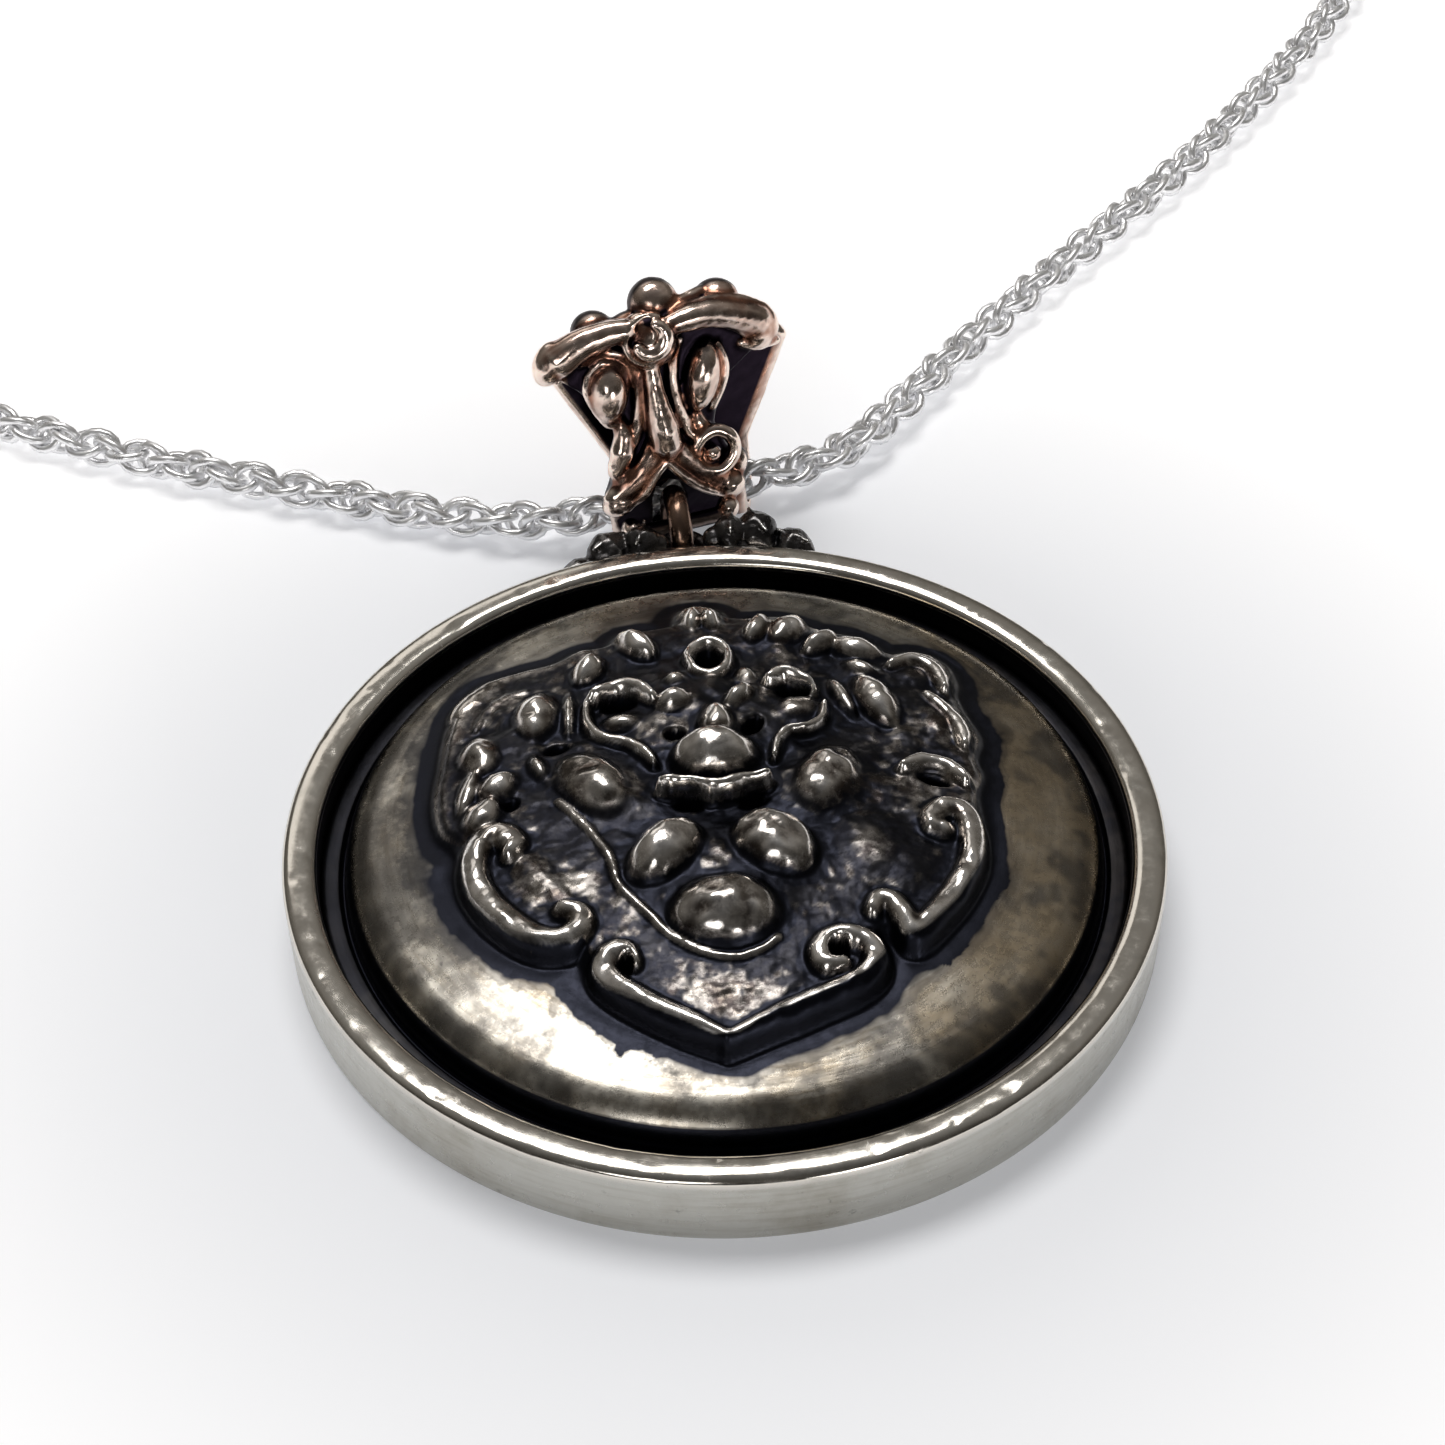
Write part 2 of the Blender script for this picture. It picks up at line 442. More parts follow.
def plateTones(x, y, high, depth, thread):
    # Values of the finish over the plate.
    step = plate["gridStep"]
    # Recesses lie below their surroundings, worn places above them.
    near, wide = blurred(high, 0.28 / step), blurred(high, 0.9 / step)
    cavity = (near - high) * 2.2 + (wide - high) * 1.1
    # Dark patina round the ornament: ragged in front, fading out at the left and behind.
    away = np.clip(softStep(-3, 7, y) + 0.8 * softStep(-4, -9, x), 0, 1)
    reachOut = 0.8 + layered(x, y, plate["haloLayers"])
    reachOut += 0.5 * softStep(1, -5, x) * softStep(-1, -5, y) + 0.15 * softStep(0, -6, x)
    reachOut = np.maximum(reachOut, plate["haloLeast"])
    halo = 1 - softStep(reachOut - 0.1 - 0.5 * away, reachOut + 0.12 + 1.3 * away, -depth)
    outside = 1 - softStep(-0.25, 0.05, depth)
    halo *= (0.97 - 0.35 * away) * outside
    # A fainter cloud of patina beyond it.
    cloud = (0.5 + layered(x, y, plate["cloudLayers"])) * softStep(2.8, 0.3, -depth)
    halo = np.maximum(halo, np.clip(0.5 * cloud, 0, 0.5) * outside)
    # The field is dark ground with dusty patches.
    dust = layered(x, y, plate["dustLayers"])
    for patchX, patchY, halfX, halfY, amount in plate["dusty"]:
        dust += amount * np.exp(-(((x - patchX) / halfX) ** 2 + ((y - patchY) / halfY) ** 2))
    local = high - blurred(high, 1.0 / step)
    ground = softStep(-0.1, 0.15, depth) * softStep(0.24, 0.02, local)
    ground *= 0.84 - 0.42 * softStep(0.05, 0.85, dust)
    recess = np.maximum(np.clip(softStep(-0.05, 0.35, cavity) + halo, 0, 1), ground)
    # The field's steep side is dark all round.
    slope = np.hypot(*np.gradient(high, step))
    steep = softStep(0.9, 1.8, slope) * softStep(0.42, 0.22, depth) * softStep(-0.6, -0.4, depth)
    recess = np.maximum(recess, 0.96 * steep) * (1 - 0.75 * thread)
    worn = softStep(0.13, 0.42, 2.4 * (high - near) + 0.22 * (high - wide))
    worn = np.maximum(worn * (1 - steep), 0.45 * thread)
    inField = softStep(-0.2, 0.1, depth)
    # The dome is stained dark at the left and towards its edge, and brown-gold at the right.
    out = np.hypot(x, y)
    blotch = 0.55 * lattice(x, y, 2.3, 61) + 0.5 * lattice(x + y, y - x, 1.1, 62)
    blotch += 0.3 * lattice(x, y, 0.3, 63)
    atLeft = 0.75 * softStep(-6.5, -10.5, x) * softStep(-7.5, -2, y)
    tarnish = softStep(0.0, 0.75, blotch + atLeft + 0.5 * softStep(10.8, 13.2, out) - 0.12) * 0.85
    atRight = 1.1 * softStep(4, 10, x) - 0.1 * softStep(2, 9, y)
    gold = softStep(0.1, 0.9, 0.5 * lattice(x, y, 1.5, 64) + atRight)
    return {"recess": recess, "worn": worn, "inField": inField, "tarnish": tarnish, "gold": gold}


def reliefGrid():
    line = np.arange(-plate["gridReach"], plate["gridReach"] + plate["gridStep"], plate["gridStep"])
    x, y = np.meshgrid(line, line)
    depth = fieldDepth(x, y)
    high, thread = ornamentHeights(x, y, depth)
    return line, high, plateTones(x, y, high, depth, thread)


def sampled(line, field, x, y):
    step = line[1] - line[0]
    u, v = (x - line[0]) / step, (y - line[0]) / step
    i, j = np.clip(u.astype(int), 0, len(line) - 2), np.clip(v.astype(int), 0, len(line) - 2)
    fu, fv = u - i, v - j
    low = field[j, i] * (1 - fu) + field[j, i + 1] * fu
    top = field[j + 1, i] * (1 - fu) + field[j + 1, i + 1] * fu
    return low * (1 - fv) + top * fv


def makePlate():
    line, high, tones = reliefGrid()
    cells = plate["cells"]
    # Square cells bent into a disc, even in size from the middle to the edge.
    side = np.linspace(-1, 1, cells + 1)
    a, b = np.meshgrid(side, side)
    wide = np.abs(a) > np.abs(b)
    safeA, safeB = np.where(a == 0, 1, a), np.where(b == 0, 1, b)
    radius = np.where(wide, a, b) * plate["reliefRadius"]
    angle = np.where(wide, math.pi / 4 * b / safeA, math.pi / 2 - math.pi / 4 * a / safeB)
    x, y = (radius * np.cos(angle)).ravel(), (radius * np.sin(angle)).ravel()
    # The relief fades out just before the disc's edge, so that it meets the plain dome.
    fade = 1 - softStep(plate["reliefRadius"] - 0.5, plate["reliefRadius"] - 0.1, np.hypot(x, y))
    points = [np.stack([x, y, domeHeight(x, y) + sampled(line, high, x, y) * fade], 1)]
    shades = {name: [sampled(line, tone, x, y)] for name, tone in tones.items()}
    row = cells + 1
    index = np.arange(row * row).reshape(row, row)
    corners = [index[:-1, :-1], index[:-1, 1:], index[1:, 1:], index[1:, :-1]]
    faces = np.stack(corners, -1).reshape(-1, 4).tolist()
    rim = np.unique(np.concatenate([index[0], index[-1], index[:, 0], index[:, -1]]))
    rim = rim[np.argsort(np.arctan2(y[rim], x[rim]))]
    # Rings outside the disc: the dome's edge, shoulder, groove, flange and its underside.
    rings = [(12.5, None), (12.6, None)]
    for turn in np.radians(np.linspace(74, 0, 14)):
        rings.append((plate["shoulderRadius"] + plate["shoulderRound"] * math.cos(turn),
                      plate["shoulderLevel"] + plate["shoulderRound"] * math.sin(turn)))
    foot, groove, bottom = plate["grooveRadius"], plate["grooveLevel"], plate["underside"]
    rings += [(foot - 0.02, groove + 0.03), (foot, groove), (foot + 0.07, groove - 0.01)]
    top, edge = plate["flangeLevel"], plate["flangeRadius"]
    rings += [(foot + 0.14, top - 0.07), (foot + 0.2, top - 0.01), (foot + 0.24, top)]
    rings += [(foot + 0.44, top + 0.005), (edge - 0.185, top - 0.005), (edge - 0.045, top - 0.02)]
    rings += [(edge - 0.005, top - 0.07), (edge, bottom + 0.05), (edge - 0.055, bottom)]
    count = len(rim) // 2
    angles = np.arctan2(y[rim[::2]], x[rim[::2]])
    start = len(x)
    for ringRadius, height in rings:
        wobble = 0.012 * lattice(angles * 9 + 40, angles * 0 + ringRadius, 1.0, 31)
        level = domeHeight(ringRadius, 0) if height is None else height
        x, y = ringRadius * np.cos(angles), ringRadius * np.sin(angles)
        points.append(np.stack([x, y, level + wobble], 1))
        # The groove is dark and the flange nearly so, with a rubbed inner edge.
        deep = 1.0 if foot - 0.37 < ringRadius < foot + 0.16 else 0.82 if ringRadius > foot + 0.16 else 0.0
        shades["recess"].append(np.full(count, deep if height else 0.0))
        shades["worn"].append(np.full(count, 0.6 if foot + 0.14 < ringRadius < foot + 0.22 else 0.0))
        shades["inField"].append(np.zeros(count))
        for tone in ("tarnish", "gold"):
            shades[tone].append(sampled(line, tones[tone], x, y))
    for k in range(count):
        near, mid, far = rim[2 * k], rim[2 * k + 1], rim[(2 * k + 2) % len(rim)]
        outer, following = start + k, start + (k + 1) % count
        faces += [(near, outer, mid), (mid, outer, following), (mid, following, far)]
    for inner in range(start, start + (len(rings) - 1) * count, count):
        for k in range(count):
            first, second = inner + k, inner + (k + 1) % count
            faces.append((first, first + count, second + count, second))
    last = start + (len(rings) - 1) * count
    faces.append(tuple(last + k for k in range(count - 1, -1, -1)))
    piece = newPiece("domedPlateDetail", np.vstack(points), faces)
    for name, values in shades.items():
        addShade(piece, name, np.concatenate(values))
    print("plate", len(piece.data.polygons), "faces")
    return piece


# Frame: turned ring with a flat back, wall, dented round lip and the step that carries the plate.
ring = {
    "radius": 15.995,
    "wallHeight": 2.85,
    "lipRise": 0.4,
    "wallInner": 14.75,
    "shelfTop": 1.15,
    "shelfInner": 13.45,
    "back": 0.8,
    "columns": 1080,
    "dents": 90,
    "dentDepth": 0.03,
    "waveRadius": 16,  # where the rim's waves and dents are read
}


def makeFrame():
    radius, high, inner = ring["radius"], ring["wallHeight"], ring["wallInner"]
    profile = [(r, 0.0) for r in (4.0, 8.0, 12.0, 15.0)] + [(radius - 0.2, 0.0), (radius - 0.14, 0.015)]
    profile += [(radius - 0.06, 0.06), (radius - 0.015, 0.14), (radius, 0.22)]
    profile += [(radius, z) for z in np.linspace(0.4, high - 0.12, 13)]
    lipMiddle, lipHalf = (radius + inner) / 2, (radius - inner) / 2
    for turn in np.linspace(4, 176, 26):
        a = math.radians(turn)
        # Fuller than a half circle: nearly upright at both sides, as a rolled wire.
        across = math.copysign(abs(math.cos(a)) ** 0.8, math.cos(a))
        profile.append((lipMiddle + lipHalf * across, high + ring["lipRise"] * math.sin(a) ** 0.8))
    profile += [(inner, z) for z in np.linspace(high - 0.1, ring["shelfTop"] + 0.08, 9)]
    profile += [(inner - 0.02, ring["shelfTop"] + 0.02), (inner - 0.08, ring["shelfTop"])]
    profile += [(ring["shelfInner"] + 0.05, ring["shelfTop"]), (ring["shelfInner"], ring["shelfTop"] - 0.05)]
    profile += [(ring["shelfInner"], ring["back"] + 0.05), (ring["shelfInner"] - 0.05, ring["back"])]
    profile += [(r, ring["back"]) for r in (12.0, 8.0, 4.0)]
    section = np.array(profile)
    count = ring["columns"]
    angle = np.arange(count) * 2 * math.pi / count
    r = np.repeat(section[:, :1], count, 1)
    z = np.repeat(section[:, 1:], count, 1)
    turn = np.repeat(angle[None], len(section), 0)
    # Slight waves of the rim, then dents of handling on the lip.
    waveX, waveY = np.cos(turn) * ring["waveRadius"], np.sin(turn) * ring["waveRadius"]
    onLip = softStep(high - 0.25, high + 0.1, z)
    wave = 0.016 * lattice(waveX, waveY, 5.5, 41) + 0.006 * lattice(waveX, waveY + 3 * z, 1.3, 42)
    z += onLip * (wave - 0.025)
    random = np.random.default_rng(17)
    for _ in range(ring["dents"]):
        place, size = random.uniform(0, 2 * math.pi), random.uniform(0.12, 0.5)
        across = random.uniform(inner + 0.05, radius - 0.02)
        depth = ring["dentDepth"] * random.uniform(0.2, 1)
        along = np.angle(np.exp(1j * (turn - place))) * ring["waveRadius"]
        z -= onLip * depth * np.exp(-((along / size) ** 2 + ((r - across) / (0.6 * size)) ** 2))
    points = np.stack([r * np.cos(turn), r * np.sin(turn), z], -1).reshape(-1, 3)
    rows = len(section)
    index = np.arange(rows * count).reshape(rows, count)
    following = np.roll(index, -1, 1)
    faces = np.stack([index[:-1], following[:-1], following[1:], index[1:]], -1).reshape(-1, 4).tolist()
    faces.append(tuple(int(k) for k in index[0][::-1]))
    faces.append(tuple(int(k) for k in index[-1]))
    piece = newPiece("frameDetail", points, faces)
    shadow = ((r < inner + 0.04) & (z < high - 0.1)) | ((r < inner) & (z > 0.7))
    addShade(piece, "recess", shadow.astype(float).ravel())
    addShade(piece, "worn", softStep(high - 0.05, high + 0.06, z).ravel())
    print("frame", len(piece.data.polygons), "faces")
    return piece


# Closed shells that are melted into one casting.
def tubeShell(line, radii, depth=1.0, sides=14):
    # The radii are spread evenly along the line; depth is the section's share front to back.
    line = np.asarray(line, float)
    radii = np.interp(np.linspace(0, 1, len(line)), np.linspace(0, 1, len(radii)), radii)
    heading = np.gradient(line, axis=0)
    heading /= np.linalg.norm(heading, axis=1, keepdims=True) + 1e-9
    # Rounded ends: shrinking rings beyond the first and last point.
    cap = ((0.97, 0.2), (0.7, 0.71))
    rings = [(line[0] - heading[0] * radii[0] * s, heading[0], radii[0] * c) for s, c in cap]
    rings += list(zip(line, heading, radii))
    rings += [(line[-1] + heading[-1] * radii[-1] * s, heading[-1], radii[-1] * c) for s, c in cap[::-1]]
    side = np.cross(rings[0][1], (0.3, 0.9, 0.1))
    points = []
    for place, along, radius in rings:
        side = side - along * np.dot(side, along)
        side /= np.linalg.norm(side)
        over = np.cross(along, side)
        for k in range(sides):
            a = 2 * math.pi * k / sides
            offset = (side * math.cos(a) + over * math.sin(a)) * radius
            points.append(place + offset * (1, depth, 1))
    count = len(rings)
    faces = [tuple(range(sides))[::-1], tuple((count - 1) * sides + k for k in range(sides))]
    for ringNumber in range(count - 1):
        for k in range(sides):
            a, b = ringNumber * sides + k, ringNumber * sides + (k + 1) % sides
            faces.append((a, b, b + sides, a + sides))
    return np.array(points), faces


def eggShell(middle, sizes, turn=0.0, pointed=0.0):
    # Sizes are full length, depth and width; the turn lifts the length from level.
    points, faces, columns, rows = [], [], 24, 14
    a = math.radians(turn)
    for row in range(1, rows):
        lift = math.pi * row / rows
        slim = math.sin(lift) ** (1 + pointed)
        for column in range(columns):
            around = 2 * math.pi * column / columns
            x = math.cos(lift) * sizes[0] / 2
            y, z = slim * math.cos(around) * sizes[1] / 2, slim * math.sin(around) * sizes[2] / 2
            points.append((x * math.cos(a) - z * math.sin(a), y, x * math.sin(a) + z * math.cos(a)))
    for row in range(rows - 2):
        for column in range(columns):
            p, q = row * columns + column, row * columns + (column + 1) % columns
            faces.append((p, p + columns, q + columns, q))
    tip = len(points)
    for half in (sizes[0] / 2, -sizes[0] / 2):
        points.append((math.cos(a) * half, 0, math.sin(a) * half))
    last = (rows - 2) * columns
    for column in range(columns):
        faces.append((tip, column, (column + 1) % columns))
        faces.append((tip + 1, last + (column + 1) % columns, last + column))
    return np.array(points) + np.array(middle), faces


def joined(shells):
    points, faces, start = [], [], 0
    for shellPoints, shellFaces in shells:
        points.append(shellPoints)
        faces += [tuple(int(k) + start for k in face) for face in shellFaces]
        start += len(shellPoints)
    return np.vstack(points), faces


def looseMesh(name, points, faces):
    mesh = bpy.data.meshes.new(name)
    mesh.from_pydata([tuple(point) for point in points], [], faces)
    shape = bmesh.new()
    shape.from_mesh(mesh)
    bmesh.ops.recalc_face_normals(shape, faces=shape.faces)
    shape.to_mesh(mesh)
    shape.free()
    made = bpy.data.objects.new(name, mesh)
    scene.collection.objects.link(made)
    return made


def settled(made, kind, **settings):
    # Applies one modifier and returns the object with the plain result.
    live = made.modifiers.new("step", kind)
    for key, value in settings.items():
        setattr(live, key, value)
    mesh = plainMesh(made)
    made.modifiers.clear()
    made.data = mesh
    return made


def meshArrays(mesh):
    places = np.empty(len(mesh.vertices) * 3)
    mesh.vertices.foreach_get("co", places)
    facing = np.empty(len(mesh.vertices) * 3)
    mesh.vertices.foreach_get("normal", facing)
    pairs = np.empty(len(mesh.edges) * 2, np.int32)
    mesh.edges.foreach_get("vertices", pairs)
    return places.reshape(-1, 3), facing.reshape(-1, 3), pairs.reshape(-1, 2)


def evened(values, pairs, rounds):
    # Each round moves every point half-way to the mean of its neighbours.
    count = len(values)
    share = np.bincount(pairs.ravel(), minlength=count)[:, None]
    for _ in range(rounds):
        total = np.zeros_like(values)
        for axis in range(values.shape[1]):
            total[:, axis] = np.bincount(pairs[:, 0], values[pairs[:, 1], axis], count)
            total[:, axis] += np.bincount(pairs[:, 1], values[pairs[:, 0], axis], count)
        values = 0.5 * values + 0.5 * total / share
    return values


# For both castings: which hidden and hollow places are dark, and how the rays leave the surface.
casting = {
    "hiddenDark": (0.12, 0.5),
    "hollowDark": (0.015, 0.1),
    "hiddenBare": (0.5, 0.85),
    "rayStart": 0.03,
    "rayLift": 0.35,
}


def castPiece(name, shells, cast, place, deepen=None, polish=None):
    # Melts shells together, roughens them as cast metal, and notes the recesses and worn ridges.
    made = looseMesh(name, *joined(shells))
    settled(made, "REMESH", mode="VOXEL", voxel_size=cast["voxel"], use_smooth_shade=True)
    mesh = made.data
    places, facing, pairs = meshArrays(mesh)
    places = evened(places, pairs, cast["melt"])
    x, y, z = places.T
    rough = lattice(x + 0.7 * z, y + 0.6 * z, cast["lump"], 51)
    rough += 0.5 * lattice(x - z, y + 0.8 * z, cast["lump"] / 2.3, 52)
    places = places + facing * (cast["rough"] * rough)[:, None]
    mesh.vertices.foreach_set("co", places.ravel())
    mesh.update()
    places, facing, pairs = meshArrays(mesh)
    bulge = ((places - evened(places, pairs, cast["spread"])) * facing).sum(1)
    tree = BVHTree.FromObject(made, bpy.context.evaluated_depsgraph_get())
    turns = np.random.default_rng(7).normal(size=(cast["rays"], 3))
    turns /= np.linalg.norm(turns, axis=1, keepdims=True)
    closed = np.zeros(len(places))
    for turn in turns:
        ways = turn * np.sign(facing @ turn)[:, None] + casting["rayLift"] * facing
        starts = places + facing * casting["rayStart"]
        for k, (start, way) in enumerate(zip(starts.tolist(), ways.tolist())):
            if tree.ray_cast(start, way, cast["reach"])[0]:
                closed[k] += 1
    closed = evened((closed / cast["rays"])[:, None], pairs, 2)[:, 0]
    hollow = 0.8 * softStep(*casting["hollowDark"], -bulge)
    dark = np.clip(softStep(*casting["hiddenDark"], closed) + hollow, 0, 1)
    if deepen:
        dark = np.maximum(dark, deepen(places, facing))
    worn = softStep(*cast["worn"], bulge) * (1 - softStep(*casting["hiddenBare"], closed))
    if polish:
        shine = polish(places)
        dark, worn = dark * (1 - 0.85 * shine), np.maximum(worn, shine)
    mesh.transform(Matrix.Scale(mm, 4) @ place)
    addShade(made, "recess", dark)
    addShade(made, "worn", worn)
    mesh.polygons.foreach_set("use_smooth", [True] * len(mesh.polygons))
    mesh.update()
    made.name = name
    print(name, len(mesh.polygons), "faces")
    return made


# Crest: cast leaves on the rim's rear, with the eye that holds the jump ring.
crest = {
    "voxel": 0.07, "melt": 2, "rough": 0.028, "lump": 0.42, "spread": 26, "rays": 12, "reach": 1.6,
    "worn": (0.03, 0.09),
    "eyePlace": (-0.55, 16.7619, 2.0), "eyeRadius": 0.97, "eyeWire": 0.35,
    "cutIn": 0.45,  # leaves end this far inside the rim's outer radius
    "lowest": 0.12,
    # Leaves: along the rim, out from the wall, up, length, width, turn, bend.
    "leaves": [
        (-4.7, 0.15, 2.0, 2.7, 1.6, 26, 0.3), (-3.5, 0.55, 2.5, 2.6, 1.9, 40, 0.3),
        (-2.35, 0.6, 2.9, 2.3, 1.7, 74, -0.3), (1.5, 0.7, 3.0, 2.0, 1.5, 84, 0.2),
        (2.6, 1.0, 2.8, 2.5, 1.9, 112, 0.3), (3.85, 0.6, 2.4, 2.5, 1.8, 146, -0.3),
        (-4.2, 0.5, 1.2, 2.2, 1.4, 20, 0.2), (-2.7, 0.8, 1.4, 2.0, 1.5, 8, 0.2),
        (4.4, 0.35, 1.3, 2.4, 1.5, 160, 0.2), (2.6, 0.9, 1.4, 1.9, 1.5, 172, 0.2),
    ],
    "berries": [(-1.6, 0.5, 2.8, 0.5), (0.75, 0.62, 2.85, 0.5)],
}


def makeCrest():
    shells = []

    def rimPlace(along, out, up):
        reach = ring["radius"] + out
        return np.array([along, math.sqrt(reach**2 - along**2), up])

    for along, out, up, length, width, turn, bend in crest["leaves"]:
        middle, a = rimPlace(along, out, up), math.radians(turn)
        way, side = np.array([math.cos(a), math.sin(a), 0]), np.array([-math.sin(a), math.cos(a), 0.4])
        shares = np.linspace(-0.42, 0.42, 9)
        stem = [middle + way * length * s + side * bend * (0.25 - s * s) * 2 for s in shares]
        shells.append(tubeShell(stem, [0.12, 0.36 * width, 0.5 * width, 0.42 * width, 0.1], sides=16))
        # A raised vein along the leaf's top.
        vein = [p + np.array([0, 0, 0.4 * width]) for p in stem[1:-1]]
        shells.append(tubeShell(vein, [0.07, 0.16, 0.07], sides=10))
    for along, out, up, radius in crest["berries"]:
        shells.append(eggShell(rimPlace(along, out, up), (2 * radius,) * 3))
    middle, radius = np.array(crest["eyePlace"]), crest["eyeRadius"]
    turns = np.linspace(0, 2 * math.pi, 41)
    eye = [middle + radius * np.array([math.cos(a), math.sin(a), 0]) for a in turns]
    shells.append(tubeShell(eye, [crest["eyeWire"]], sides=14))
    # The leaves' inner parts are cut off just inside the wall, so none shows within the lip.
    kept = []
    for points, faces in shells:
        reach = np.hypot(points[:, 0], points[:, 1])
        push = np.maximum(1, (ring["radius"] - crest["cutIn"]) / reach)
        points = points * np.stack([push, push, np.ones_like(push)], 1)
        points[:, 2] = np.maximum(points[:, 2], crest["lowest"])
        kept.append((points, faces))
    return castPiece("crestLeaves", kept, crest, Matrix.Identity(4))


